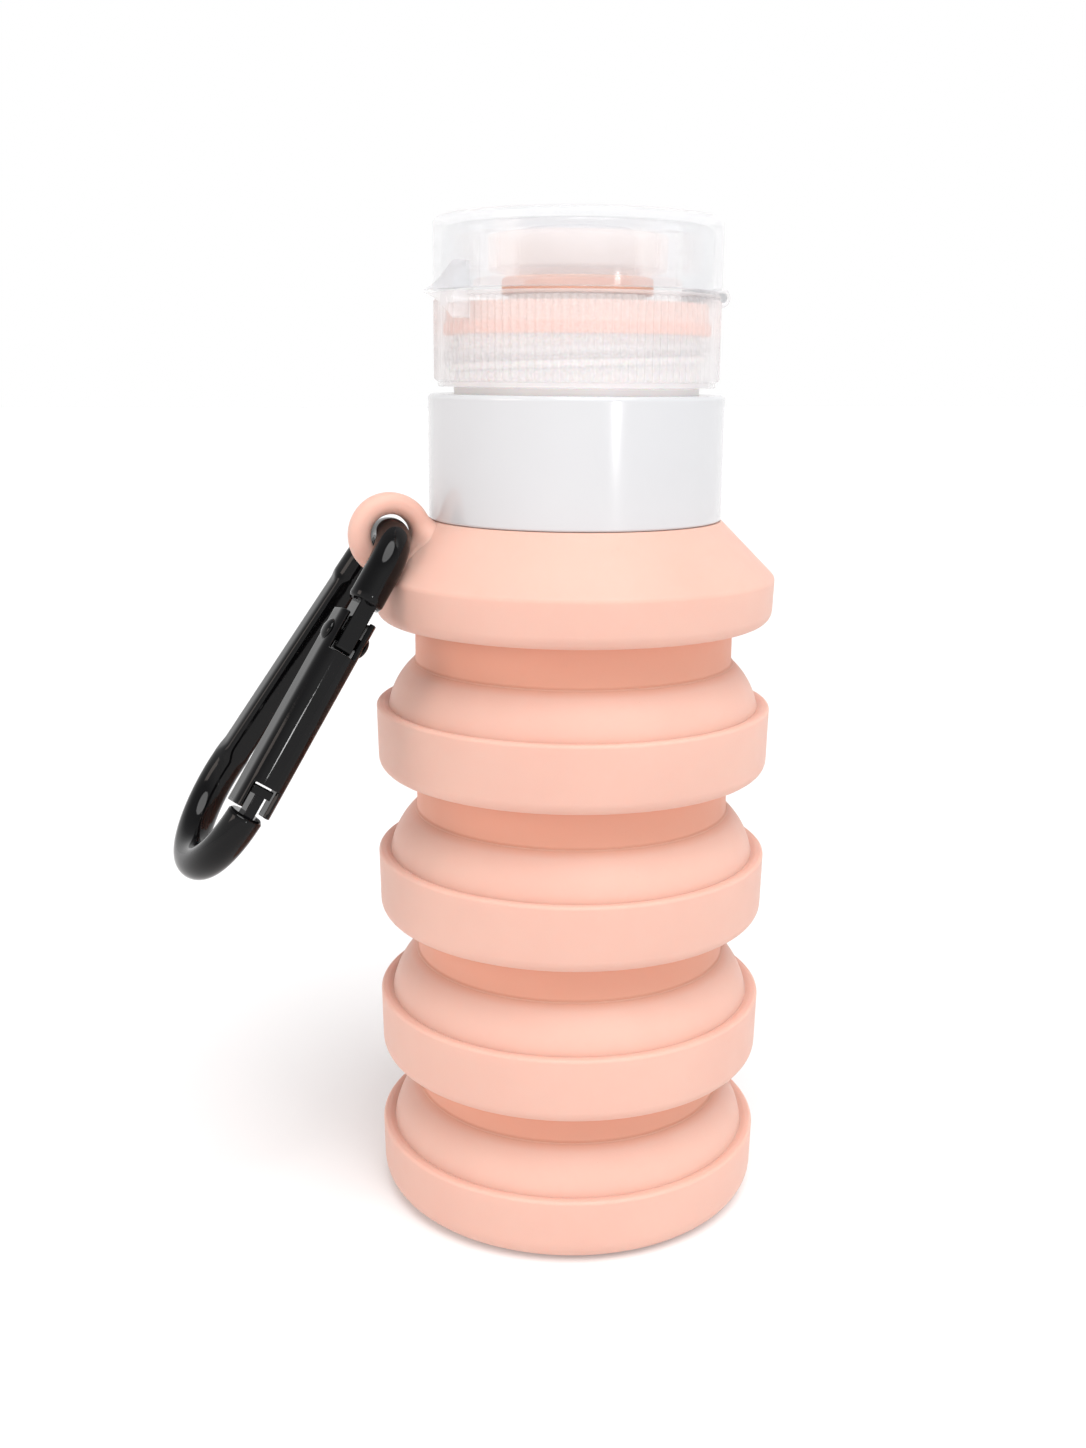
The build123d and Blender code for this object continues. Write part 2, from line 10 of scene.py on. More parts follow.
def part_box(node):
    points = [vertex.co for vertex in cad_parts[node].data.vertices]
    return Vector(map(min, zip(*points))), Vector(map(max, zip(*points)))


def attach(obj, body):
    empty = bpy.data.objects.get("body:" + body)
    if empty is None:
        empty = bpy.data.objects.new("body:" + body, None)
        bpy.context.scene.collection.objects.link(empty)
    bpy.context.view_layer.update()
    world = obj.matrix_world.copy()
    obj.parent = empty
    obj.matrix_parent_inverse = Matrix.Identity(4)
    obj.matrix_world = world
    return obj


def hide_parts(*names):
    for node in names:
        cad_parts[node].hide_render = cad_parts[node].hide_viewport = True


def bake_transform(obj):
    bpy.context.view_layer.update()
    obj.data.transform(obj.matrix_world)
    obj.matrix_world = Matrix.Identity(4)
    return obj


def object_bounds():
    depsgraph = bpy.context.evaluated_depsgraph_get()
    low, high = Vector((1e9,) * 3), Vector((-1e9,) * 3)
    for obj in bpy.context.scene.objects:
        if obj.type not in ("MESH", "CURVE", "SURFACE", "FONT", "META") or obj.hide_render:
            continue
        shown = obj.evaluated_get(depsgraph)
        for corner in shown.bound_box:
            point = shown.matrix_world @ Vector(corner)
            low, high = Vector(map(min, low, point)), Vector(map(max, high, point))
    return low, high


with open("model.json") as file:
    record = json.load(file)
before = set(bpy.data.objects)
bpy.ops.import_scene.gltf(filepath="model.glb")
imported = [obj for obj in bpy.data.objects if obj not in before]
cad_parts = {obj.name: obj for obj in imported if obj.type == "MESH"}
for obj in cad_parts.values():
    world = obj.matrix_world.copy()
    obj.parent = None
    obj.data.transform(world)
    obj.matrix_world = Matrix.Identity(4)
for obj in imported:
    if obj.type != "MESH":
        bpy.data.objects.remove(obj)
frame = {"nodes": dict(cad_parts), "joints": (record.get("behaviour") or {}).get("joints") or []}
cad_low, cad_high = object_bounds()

# A folding water bottle: silicone bellows, white collar, frosted screw cap under a clear
# flip cover, and a black carabiner. Everything is in metres, in the frame's own axes.

MM = 0.001

# ---- places read from the frame ------------------------------------------------------
JOINTS = {joint["name"]: joint for joint in frame["joints"]}
BANDS = ["base_cup", "ring_2", "ring_3", "ring_4"]
BAND_BODIES = ["base", "band_2", "band_3", "band_4"]
BAND_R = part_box("base_cup")[1].x
LIP = [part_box(node)[1].z for node in BANDS]
BAND_H = LIP[0]
FOOT = [lip - BAND_H for lip in LIP]
CREASE = [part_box(f"fold_wall_{k}")[0].z for k in range(1, 5)]
DOME_TOP = [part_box(f"fold_wall_{k}")[1].z for k in range(1, 5)]
CREASE_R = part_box("fold_wall_1")[1].x
CREASE_DROP = BAND_H - CREASE[0]
COLLAR_LOW, COLLAR_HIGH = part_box("collar")
COLLAR_R = COLLAR_HIGH.x
NECK_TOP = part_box("threaded_neck")[1].z
CAP_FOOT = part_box("screw_cap")[0].z
DECK_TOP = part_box("spout_seal")[0].z
COVER_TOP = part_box("flip_cover")[1].z
SPOUT_LOW, SPOUT_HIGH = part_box("spout")
GASKET_LOW, GASKET_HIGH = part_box("cap_gasket")
LOOP_CENTRE = Vector(JOINTS["clip_swing"]["pos_m"])
CLIP_NORMAL = Vector(JOINTS["gate_open"]["axis"]).normalized()
RIVET = Vector(JOINTS["gate_open"]["pos_m"])
HINGE = Vector(JOINTS["cover_flip"]["pos_m"])
HINGE_AXIS = Vector(JOINTS["cover_flip"]["axis"]).normalized()

# ---- sizes that the frame's boxes don't give -----------------------------------------
WAIST_R = 28.9 * MM
WAIST_IN = 26.7 * MM
BAND_IN = 33.5 * MM
SHELF_T = 2.4 * MM           # ledge at a band's foot
FLOOR_T = 3.0 * MM
SHOULDER_FOOT = 110.0 * MM
CONE_FOOT = COLLAR_LOW.z - (BAND_R - COLLAR_R)  # the cone rises at 45 degrees
DRAFT = 0.3 * MM             # bands are this much narrower at the foot
FOOT_ROUND = 2.6 * MM
BASE_ROUND = 4.5 * MM
FOLD_LEAN = math.radians(9)  # how far a fold wall leans in where it leaves the band
TUCK = 0.7 * MM              # how far fold walls run on inside the thick parts
NECK_R = 21.6 * MM
FLANGE_R = 24.0 * MM         # the neck's foot flange, held inside the shoulder
FLANGE_T = 1.6 * MM
COLLAR_TOP_T = 1.8 * MM      # the collar's top, which sits on the shoulder's sleeve
THREAD_LEAD = 4.0 * MM
THREAD_H = 1.3 * MM
THREAD_FOOT_W = 1.6 * MM
THREAD_CREST_W = 0.9 * MM
NECK_THREAD_Z = COLLAR_HIGH.z + 2.5 * MM
CAP_THREAD_Z = NECK_THREAD_Z + THREAD_LEAD / 2
SEAM = 0.4 * MM              # gap between the cap's deck and the cover
CAP_R = 25.1 * MM
CAP_ROOT_R = 24.65 * MM
CAP_IN = GASKET_HIGH.x
SPOUT_LOW_R = 12.0 * MM
COVER_R = 25.2 * MM
COVER_WALL = 1.6 * MM
PLUG_R = 10.7 * MM
PLUG_IN = 9.5 * MM

NOISE_LOW, NOISE_HIGH = 0.3, 0.7  # where a noise texture spends most of its range


# ---- mesh helpers --------------------------------------------------------------------
def linked(name, data):
    """A new object that shows that data, in the scene."""
    obj = bpy.data.objects.new(name, data)
    bpy.context.scene.collection.objects.link(obj)
    return obj


def shade_smooth(mesh):
    mesh.polygons.foreach_set("use_smooth", [True] * len(mesh.polygons))


def smooth_step(share):
    """share, held between 0 and 1, with a level start and end."""
    share = min(1.0, max(0.0, share))
    return share * share * (3 - 2 * share)


def rounded(corners):
    """A closed outline through corners (x, y, radius), each turned by an arc of that radius."""
    step, side_share = math.radians(10), 0.49
    outline = []
    for i, (x, y, radius) in enumerate(corners):
        here = np.array((x, y))
        back = np.array(corners[i - 1][:2]) - here
        ahead = np.array(corners[(i + 1) % len(corners)][:2]) - here
        long_back, long_ahead = np.linalg.norm(back), np.linalg.norm(ahead)
        back, ahead = back / long_back, ahead / long_ahead
        half = math.acos(max(-1.0, min(1.0, float(back @ ahead)))) / 2
        reach = min(radius / math.tan(half), side_share * long_back, side_share * long_ahead)
        if reach < 1e-7 or math.pi / 2 - half < 1e-3:
            outline.append(here)
            continue
        turned = reach * math.tan(half)
        middle = (back + ahead) / np.linalg.norm(back + ahead)
        centre = here + middle * turned / math.sin(half)
        first, last = here + back * reach - centre, here + ahead * reach - centre
        start = math.atan2(first[1], first[0])
        sweep = (math.atan2(last[1], last[0]) - start + math.pi) % (2 * math.pi) - math.pi
        count = max(2, math.ceil(abs(sweep) / step))
        for k in range(count + 1):
            a = start + sweep * k / count
            outline.append(centre + turned * np.array((math.cos(a), math.sin(a))))
    return np.array(outline)


def mesh_object(name, verts, faces):
    """A mesh object at the origin, its faces turned outwards."""
    mesh = bpy.data.meshes.new(name)
    mesh.from_pydata([tuple(v) for v in verts], [], [tuple(f) for f in faces])
    bm = bmesh.new()
    bm.from_mesh(mesh)
    bmesh.ops.remove_doubles(bm, verts=bm.verts, dist=1e-7)
    bmesh.ops.recalc_face_normals(bm, faces=bm.faces)
    bm.to_mesh(mesh)
    bm.free()
    shade_smooth(mesh)
    return linked(name, mesh)


def turned_mesh(outline, segments=192, bulge=None):
    """Vertices and faces of a closed (radius, height) outline turned about Z.
    bulge(radius, height, angles) may add to the radius round the circle."""
    angles = np.linspace(0, 2 * math.pi, segments, endpoint=False)
    verts, first = [], []
    for r, z in outline:
        first.append(len(verts))
        if r < 1e-6:
            verts.append((0.0, 0.0, z))
            continue
        radius = r + (bulge(r, z, angles) if bulge else 0 * angles)
        verts.extend(zip(radius * np.cos(angles), radius * np.sin(angles), [z] * segments))
    faces = []
    for i in range(len(outline)):
        k = (i + 1) % len(outline)
        pole_i, pole_k = outline[i][0] < 1e-6, outline[k][0] < 1e-6
        if pole_i and pole_k:
            continue
        for j in range(segments):
            n = (j + 1) % segments
            if pole_i:
                faces.append((first[i], first[k] + j, first[k] + n))
            elif pole_k:
                faces.append((first[i] + j, first[k], first[i] + n))
            else:
                faces.append((first[i] + j, first[k] + j, first[k] + n, first[i] + n))
    return verts, faces


def turned(name, corners, segments=192, bulge=None):
    """A turned piece from outline corners (radius, height, rounding)."""
    return mesh_object(name, *turned_mesh(rounded(corners), segments, bulge))


def plate(name, corners, matrix, low, high, bevel=0.0):
    """A flat piece: outline corners (x, y, rounding) from local z low to high, placed by matrix."""
    outline = rounded(corners)
    count = len(outline)
    verts = [matrix @ Vector((x, y, z)) for z in (low, high) for x, y in outline]
    faces = [tuple(range(count)), tuple(range(count, 2 * count))]
    for i in range(count):
        k = (i + 1) % count
        faces.append((i, k, count + k, count + i))
    obj = mesh_object(name, verts, faces)
    if bevel:
        soften(obj, bevel)
    return obj


def soften(obj, width, angle=32):
    """Round off the edges of a mesh that are sharper than angle, in degrees."""
    modifier = obj.modifiers.new("edge_round", "BEVEL")
    modifier.width = width
    modifier.segments = 3
    modifier.limit_method = "ANGLE"
    modifier.angle_limit = math.radians(angle)
    modifier.harden_normals = False
    apply_modifiers(obj)


def apply_modifiers(obj):
    """Bake the modifiers into the mesh, so that the mesh is what is seen."""
    depsgraph = bpy.context.evaluated_depsgraph_get()
    done = bpy.data.meshes.new_from_object(obj.evaluated_get(depsgraph))
    obj.modifiers.clear()
    obj.data = done
    shade_smooth(done)


def joined(name, parts):
    """One object from several, which are removed."""
    bm = bmesh.new()
    for part in parts:
        bm.from_mesh(part.data)
    mesh = bpy.data.meshes.new(name)
    bm.to_mesh(mesh)
    bm.free()
    for part in parts:
        bpy.data.objects.remove(part)
    return linked(name, mesh)


def even_normals(obj):
    """Let the large faces set the shading, so that flats stay flat beside round edges."""
    modifier = obj.modifiers.new("even_normals", "WEIGHTED_NORMAL")
    modifier.weight = 60


def finish_piece(obj, material):
    """Give a piece its material."""
    obj.data.materials.clear()
    obj.data.materials.append(material)
    return obj


# ---- materials -----------------------------------------------------------------------
class Finish:
    """A procedural material: one Principled shader with noise-driven colour, gloss and bump."""

    def __init__(self, name, **sockets):
        self.material = bpy.data.materials.new(name)
        self.material.use_nodes = True
        self.nodes = self.material.node_tree.nodes
        self.links = self.material.node_tree.links
        self.shader = self.nodes["Principled BSDF"]
        self.coordinates = self.nodes.new("ShaderNodeTexCoord")
        self.normal = None
        for key, value in sockets.items():
            self.shader.inputs[key.replace("_", " ")].default_value = value

    def noise(self, scale, detail, stretch=None):
        texture = self.nodes.new("ShaderNodeTexNoise")
        texture.inputs["Scale"].default_value = scale
        texture.inputs["Detail"].default_value = detail
        texture.inputs["Roughness"].default_value = 0.55
        source = self.coordinates.outputs["Object"]
        if stretch:
            mapping = self.nodes.new("ShaderNodeMapping")
            mapping.inputs["Scale"].default_value = stretch
            self.links.new(source, mapping.inputs["Vector"])
            source = mapping.outputs["Vector"]
        self.links.new(source, texture.inputs["Vector"])
        return texture.outputs["Fac"]

    def specks(self, scale, size):
        """Small sparse dots: 1 in a dot, 0 elsewhere."""
        cells = self.nodes.new("ShaderNodeTexVoronoi")
        cells.inputs["Scale"].default_value = scale
        self.links.new(self.coordinates.outputs["Object"], cells.inputs["Vector"])
        return self.spread(cells.outputs["Distance"], 1.0, 0.0, size * 0.6, size)

    def spread(self, source, low, high, start=NOISE_LOW, end=NOISE_HIGH):
        """source, clamped from start to end, as a value from low to high."""
        ranged = self.nodes.new("ShaderNodeMapRange")
        ranged.inputs["From Min"].default_value = start
        ranged.inputs["From Max"].default_value = end
        ranged.inputs["To Min"].default_value = low
        ranged.inputs["To Max"].default_value = high
        self.links.new(source, ranged.inputs["Value"])
        return ranged.outputs["Result"]

    def colours(self, source, first, second):
        """Vary the base colour between two along a noise."""
        ramp = self.nodes.new("ShaderNodeValToRGB")
        ramp.color_ramp.elements[0].position = NOISE_LOW
        ramp.color_ramp.elements[0].color = (*first, 1)
        ramp.color_ramp.elements[1].position = NOISE_HIGH
        ramp.color_ramp.elements[1].color = (*second, 1)
        self.links.new(source, ramp.inputs["Fac"])
        self.links.new(ramp.outputs["Color"], self.shader.inputs["Base Color"])

    def paint_light_by_radius(self, radii, colour, top=COVER_TOP):
        """Turn the base colour to another between two radii, towards the axis, up to the height
        top: painted light that follows the radius, used for painted shade in the silicone's waists
        and a painted paler haze on the gasket."""
        split = self.nodes.new("ShaderNodeSeparateXYZ")
        flat = self.nodes.new("ShaderNodeCombineXYZ")
        length = self.nodes.new("ShaderNodeVectorMath")
        length.operation = "LENGTH"
        mix = self.nodes.new("ShaderNodeMix")
        mix.data_type = "RGBA"
        self.links.new(self.coordinates.outputs["Object"], split.inputs["Vector"])
        self.links.new(split.outputs["X"], flat.inputs["X"])
        self.links.new(split.outputs["Y"], flat.inputs["Y"])
        self.links.new(flat.outputs["Vector"], length.inputs[0])
        share = self.nodes.new("ShaderNodeMath")
        share.operation = "MULTIPLY"
        inside = self.spread(length.outputs["Value"], 1.0, 0.0, *radii)
        self.links.new(inside, share.inputs[0])
        self.links.new(self.spread(split.outputs["Z"], 1.0, 0.0, top, top + MM), share.inputs[1])
        base = self.shader.inputs["Base Color"]
        self.links.new(share.outputs["Value"], mix.inputs["Factor"])
        self.links.new(base.links[0].from_socket, mix.inputs["A"])
        mix.inputs["B"].default_value = (*colour, 1)
        self.links.new(mix.outputs["Result"], base)

    def gloss(self, source, low, high):
        """Vary the roughness from low to high along a noise."""
        self.links.new(self.spread(source, low, high), self.shader.inputs["Roughness"])

    def bump(self, source, height, strength):
        """Add a bump of that height, in metres, on top of the earlier ones."""
        node = self.nodes.new("ShaderNodeBump")
        node.inputs["Distance"].default_value = height
        node.inputs["Strength"].default_value = strength
        self.links.new(source, node.inputs["Height"])
        if self.normal:
            self.links.new(self.normal, node.inputs["Normal"])
        self.normal = node.outputs["Normal"]
        self.links.new(self.normal, self.shader.inputs["Normal"])


def silicone_finish():
    """Soft-touch peach silicone: powdery, faintly mottled, with a fine moulded grain."""
    f = Finish(
        "peach_silicone", Subsurface_Weight=0.25, Subsurface_Radius=(1.0, 0.42, 0.32),
        Subsurface_Scale=0.0025, Sheen_Weight=0.06, Sheen_Roughness=0.45,
        Sheen_Tint=(1.0, 0.9, 0.87, 1), IOR=1.41,
    )
    f.colours(f.noise(45, 4), (0.70, 0.418, 0.341), (0.725, 0.448, 0.366))
    # painted shade: the silicone turns deeper orange in its narrow waists, where the bands above
    # keep the light off
    f.paint_light_by_radius((WAIST_R - 0.5 * MM, WAIST_R + 1.6 * MM), (0.74, 0.325, 0.215), SHOULDER_FOOT)
    f.gloss(f.noise(260, 3), 0.50, 0.60)
    f.bump(f.noise(2600, 2), 0.00003, 0.35)
    f.bump(f.noise(160, 2), 0.00006, 0.25)
    f.bump(f.specks(420, 0.05), 0.00008, 0.5)
    return f.material


def seal_finish():
    """Orange silicone of the seals, with a painted paler haze on the gasket inside its outer lip.
    """
    f = Finish("seal_silicone", Subsurface_Weight=0.2, Subsurface_Radius=(1.0, 0.45, 0.3),
               Subsurface_Scale=0.002, IOR=1.41)
    f.colours(f.noise(80, 3), (0.89, 0.38, 0.23), (0.91, 0.41, 0.26))
    # painted light: the gasket is paler inside its outer lip, standing in for light scattered by
    # the frosted cap over the part that stands back from it
    f.paint_light_by_radius((GASKET_HIGH.x - 0.45 * MM, GASKET_HIGH.x - 0.1 * MM), (0.89, 0.53, 0.41))
    f.gloss(f.noise(300, 2), 0.42, 0.52)
    f.bump(f.noise(2200, 2), 0.00002, 0.3)
    return f.material


def collar_finish():
    """Glossy white moulded plastic with a trace of shrink waviness."""
    f = Finish("white_gloss", IOR=1.49, Coat_Weight=0.35, Coat_Roughness=0.05)
    f.colours(f.noise(30, 2), (0.585, 0.59, 0.605), (0.61, 0.615, 0.63))
    f.gloss(f.noise(140, 3), 0.13, 0.19)
    f.bump(f.noise(95, 1.5), 0.00004, 0.25)
    f.bump(f.noise(3000, 2), 0.000006, 0.3)
    return f.material


def neck_finish():
    """Natural plastic of the threaded neck, a little translucent."""
    f = Finish("neck_natural", Subsurface_Weight=0.3, Subsurface_Scale=0.003, IOR=1.49)
    f.colours(f.noise(60, 2), (0.88, 0.81, 0.80), (0.91, 0.85, 0.84))
    f.gloss(f.noise(200, 2), 0.32, 0.42)
    f.bump(f.noise(900, 2), 0.00001, 0.4)
    return f.material


def frosted_finish():
    """Milky cap plastic, partly seen through."""
    f = Finish("frosted_plastic", IOR=1.4, Alpha=0.33)
    f.colours(f.noise(50, 3), (0.88, 0.86, 0.865), (0.91, 0.89, 0.895))
    f.gloss(f.noise(220, 3), 0.22, 0.30)
    f.bump(f.noise(1400, 2), 0.00001, 0.35)
    return f.material


def clear_finish():
    """Clear plastic of the flip cover."""
    f = Finish("clear_plastic", Transmission_Weight=0.65, IOR=1.38, Alpha=0.36)
    f.colours(f.noise(35, 2), (0.85, 0.865, 0.90), (0.885, 0.90, 0.93))
    f.gloss(f.noise(120, 3), 0.03, 0.08)
    f.bump(f.noise(70, 2), 0.00003, 0.3)
    return f.material


def mouth_finish():
    """Clear plastic with painted light: a peach colour that stands in for the light of the peach
    seals behind it, and a faint painted peach glow that stands in for light lost through the layers
    of clear plastic.
    """
    f = Finish("spout_clear", Transmission_Weight=0.1, IOR=1.38, Alpha=0.34,
               Emission_Strength=0.22, Emission_Color=(1, 0.84, 0.77, 1))
    f.colours(f.noise(60, 2), (0.95, 0.81, 0.75), (0.965, 0.84, 0.785))
    f.gloss(f.noise(150, 3), 0.06, 0.12)
    f.bump(f.noise(90, 2), 0.00002, 0.3)
    return f.material


def enamel_finish():
    """Black glossy enamel over die-cast metal, with a slight orange peel."""
    f = Finish("black_enamel", IOR=1.5, Specular_IOR_Level=0.22)
    f.colours(f.noise(60, 3), (0.0015, 0.0015, 0.0017), (0.003, 0.003, 0.0033))
    f.gloss(f.noise(180, 4), 0.05, 0.10)
    f.bump(f.noise(520, 3), 0.00002, 0.4)
    f.bump(f.noise(90, 2), 0.00005, 0.25)
    return f.material


def steel_finish():
    """Drawn steel wire of the hinge pin and the gate's spring."""
    f = Finish("bright_steel", Metallic=1.0)
    f.colours(f.noise(200, 3), (0.52, 0.52, 0.53), (0.62, 0.62, 0.63))
    f.gloss(f.noise(700, 3, stretch=(1, 1, 8)), 0.25, 0.4)
    f.bump(f.noise(1500, 3, stretch=(1, 1, 10)), 0.00001, 0.4)
    return f.material


def floor_finish():
    """White floor that stays bright to its far edge."""
    f = Finish("studio_floor", Specular_IOR_Level=0.0, Emission_Strength=0.16,
               Emission_Color=(1, 1, 1, 1))
    f.colours(f.noise(3, 2), (0.72, 0.715, 0.715), (0.73, 0.725, 0.725))
    f.gloss(f.noise(8, 2), 0.6, 0.65)
    return f.material


SILICONE = silicone_finish()
SEAL = seal_finish()
WHITE = collar_finish()
NECK = neck_finish()
FROSTED = frosted_finish()
CLEAR = clear_finish()
MOUTH = mouth_finish()
ENAMEL = enamel_finish()
STEEL = steel_finish()


# ---- silicone bellows ----------------------------------------------------------------
def waist_corners(waist_foot, band_foot):
    """Inner foot, tucked edge and outer side of the narrow wall under a band."""
    flare = 0.55 * MM
    return [
        (WAIST_IN, waist_foot - flare, 0.2 * MM),
        (WAIST_R + 0.1 * MM, waist_foot - 1.2 * flare, 0.05 * MM),
        (WAIST_R + 0.87 * flare, waist_foot - 0.5 * flare, 0.0),
        (WAIST_R, waist_foot, 1.0 * MM),
        (WAIST_R, band_foot, 1.0 * MM),
    ]


def lip_corners(lip):
    """The band's rounded lip, the valley down into the fold wall and the ledge inside."""
    crease = lip - CREASE_DROP
    return [
        (BAND_R, lip, 1.7 * MM),
        (CREASE_R + 0.9 * MM, lip, 1.3 * MM),
        (CREASE_R + 0.05 * MM, crease + 0.25 * MM, 0.6 * MM),
        (CREASE_R - 1.3 * MM, crease + 0.2 * MM, 0.1 * MM),
        (BAND_IN, crease - 2.0 * MM, 0.3 * MM),
    ]


def base_piece():
    """The foot of the bottle, a cup with the lowest band as its wall."""
    corners = [
        (0.0, 0.0, 0.0),
        (BAND_R - DRAFT, 0.0, BASE_ROUND),
        *lip_corners(LIP[0]),
        (BAND_IN, FLOOR_T, 3.0 * MM),
        (0.0, FLOOR_T, 0.0),
    ]
    obj = finish_piece(turned("silicone_base", corners), SILICONE)
    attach(obj, "base")
    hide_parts("base_cup")


def band_piece(k):
    """Band k: the narrow waist, the ledge out to the wide wall, and its lip."""
    corners = [
        *waist_corners(DOME_TOP[k - 1], FOOT[k]),
        (BAND_R - DRAFT, FOOT[k], FOOT_ROUND),
        *lip_corners(LIP[k]),
        (BAND_IN, FOOT[k] + SHELF_T, 1.0 * MM),
        (WAIST_IN, FOOT[k] + SHELF_T, 0.8 * MM),
    ]
    name = f"silicone_band_{k + 1}"
    obj = finish_piece(turned(name, corners), SILICONE)
    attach(obj, BAND_BODIES[k])
    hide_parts(BANDS[k])


def leaning_arc(foot, top, count):
    """Points of the arc from foot in and up to top, leaning in by FOLD_LEAN at its foot."""
    run, rise = foot[0] - top[0], top[1] - foot[1]
    half = math.atan2(run, rise) - FOLD_LEAN
    radius = math.hypot(run, rise) / (2 * math.sin(half))
    centre = foot[0] - radius * math.cos(FOLD_LEAN), foot[1] - radius * math.sin(FOLD_LEAN)
    return [
        (centre[0] + radius * math.cos(a), centre[1] + radius * math.sin(a))
        for a in np.linspace(FOLD_LEAN, FOLD_LEAN + 2 * half, count)
    ]


def fold_piece(k):
    """A thin wall that rises from a crease and rounds over to the next waist."""
    root_t, tip_t = 1.4 * MM, 1.5 * MM
    crease, top = CREASE[k], DOME_TOP[k]
    outside = leaning_arc((CREASE_R, crease), (WAIST_R, top), 22)
    root, tip = CREASE_R - root_t, WAIST_R - tip_t
    inside = leaning_arc((root, crease), (tip, top), 16)[::-1]
    outline = [
        (CREASE_R, crease - TUCK), *outside,
        (WAIST_R - TUCK, top + TUCK / 2), (tip, top + TUCK / 2),
        *inside, (root, crease - TUCK),
    ]
    obj = mesh_object(f"silicone_fold_{k + 1}", *turned_mesh(outline))
    finish_piece(obj, SILICONE)
    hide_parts(f"fold_wall_{k + 1}")
    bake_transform(obj)


def shoulder_piece():
    """Top band and cone, with the sleeve that the collar clamps on the neck."""
    collar_wall, seat_t, seat_w, cone_t = 2.0 * MM, 1.5 * MM, 2.0 * MM, 3.2 * MM
    sleeve_r, sleeve_in = COLLAR_R - collar_wall, NECK_R + 0.05 * MM
    sleeve_foot, sleeve_top = COLLAR_LOW.z - 0.05 * MM, COLLAR_HIGH.z - COLLAR_TOP_T
    flange_low, flange_top = COLLAR_LOW.z - FLANGE_T, COLLAR_LOW.z
    seat = flange_low - seat_t
    inner_cone = BAND_R + CONE_FOOT - cone_t * math.sqrt(2)
    corners = [
        *waist_corners(DOME_TOP[-1], SHOULDER_FOOT),
        (BAND_R - DRAFT, SHOULDER_FOOT, FOOT_ROUND),
        (BAND_R, CONE_FOOT, 1.3 * MM),
        (COLLAR_R + 0.1 * MM, COLLAR_LOW.z - 0.1 * MM, 0.25 * MM),
        (COLLAR_R - 0.4 * MM, sleeve_foot, 0.1 * MM),
        (sleeve_r, sleeve_foot, 0.1 * MM),
        (sleeve_r, sleeve_top, 0.1 * MM),
        (sleeve_in, sleeve_top, 0.1 * MM),
        (sleeve_in, flange_top, 0.0),
        (FLANGE_R, flange_top, 0.0),
        (FLANGE_R, flange_low, 0.0),
        (NECK_R - seat_w, flange_low, 0.2 * MM),
        (NECK_R - seat_w, seat, 0.3 * MM),
        (inner_cone - seat, seat, 0.6 * MM),
        (BAND_IN, inner_cone - BAND_IN, 1.0 * MM),
        (BAND_IN, SHOULDER_FOOT + SHELF_T, 1.0 * MM),
        (WAIST_IN, SHOULDER_FOOT + SHELF_T, 0.8 * MM),
    ]
    obj = finish_piece(turned("silicone_shoulder", corners), SILICONE)
    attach(obj, "shoulder")
    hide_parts("shoulder")


def loop_piece():
    """The carabiner's loop: a soft ring that swells into the cone where it grows out of it."""
    hole, rim, thick, edge = 3.6 * MM, 3.7 * MM, 4.6 * MM, 1.7 * MM
    fillet, ease = 2.4 * MM, 0.6 * rim
    cone_sum = BAND_R + CONE_FOOT
    section = rounded(
        [(hole, -thick / 2, edge), (hole + rim, -thick / 2, edge),
         (hole + rim, thick / 2, edge), (hole, thick / 2, edge)]
    )
    around, count = 144, len(section)
    ahead, back = np.roll(section, -1, 0), np.roll(section, 1, 0)
    out = ahead - back
    out = np.stack([out[:, 1], -out[:, 0]], 1)
    out /= np.linalg.norm(out, axis=1)[:, None]
    verts = []
    for a in np.linspace(0, 2 * math.pi, around, endpoint=False):
        for (r, y), (n_r, n_y) in zip(section, out):
            direction = Vector((math.cos(a), 0, math.sin(a)))
            point = LOOP_CENTRE + direction * float(r) + Vector((0, float(y), 0))
            off = (math.hypot(point.x, point.y) + point.z - cone_sum) / math.sqrt(2)
            near = fillet - min(fillet, max(0.0, off))
            swell = fillet - math.sqrt(fillet**2 - near**2)
            swell *= smooth_step((r - hole) / ease)
            verts.append(point + (direction * float(n_r) + Vector((0, float(n_y), 0))) * swell)
    faces = []
    for i in range(around):
        for j in range(count):
            k, n = (i + 1) % around, (j + 1) % count
            faces.append((i * count + j, k * count + j, k * count + n, i * count + n))
    obj = finish_piece(mesh_object("silicone_loop", verts, faces), SILICONE)
    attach(obj, "shoulder")
    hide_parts("hang_loop")


# ---- collar, neck, cap and cover -----------------------------------------------------
def collar_piece():
    """White ring with a flat top, open below over the shoulder's sleeve."""
    wall_in, top_in = 24.2 * MM, 21.7 * MM
    top = COLLAR_HIGH.z
    corners = [
        (wall_in, COLLAR_LOW.z, 0.1 * MM),
        (COLLAR_R, COLLAR_LOW.z, 0.45 * MM),
        (COLLAR_R, top, 0.8 * MM),
        (top_in, top, 0.3 * MM),
        (top_in, top - COLLAR_TOP_T, 0.1 * MM),
        (wall_in, top - COLLAR_TOP_T, 0.1 * MM),
    ]
    obj = finish_piece(turned("collar_shell", corners, 256), WHITE)
    even_normals(obj)
    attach(obj, "shoulder")
    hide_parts("collar")


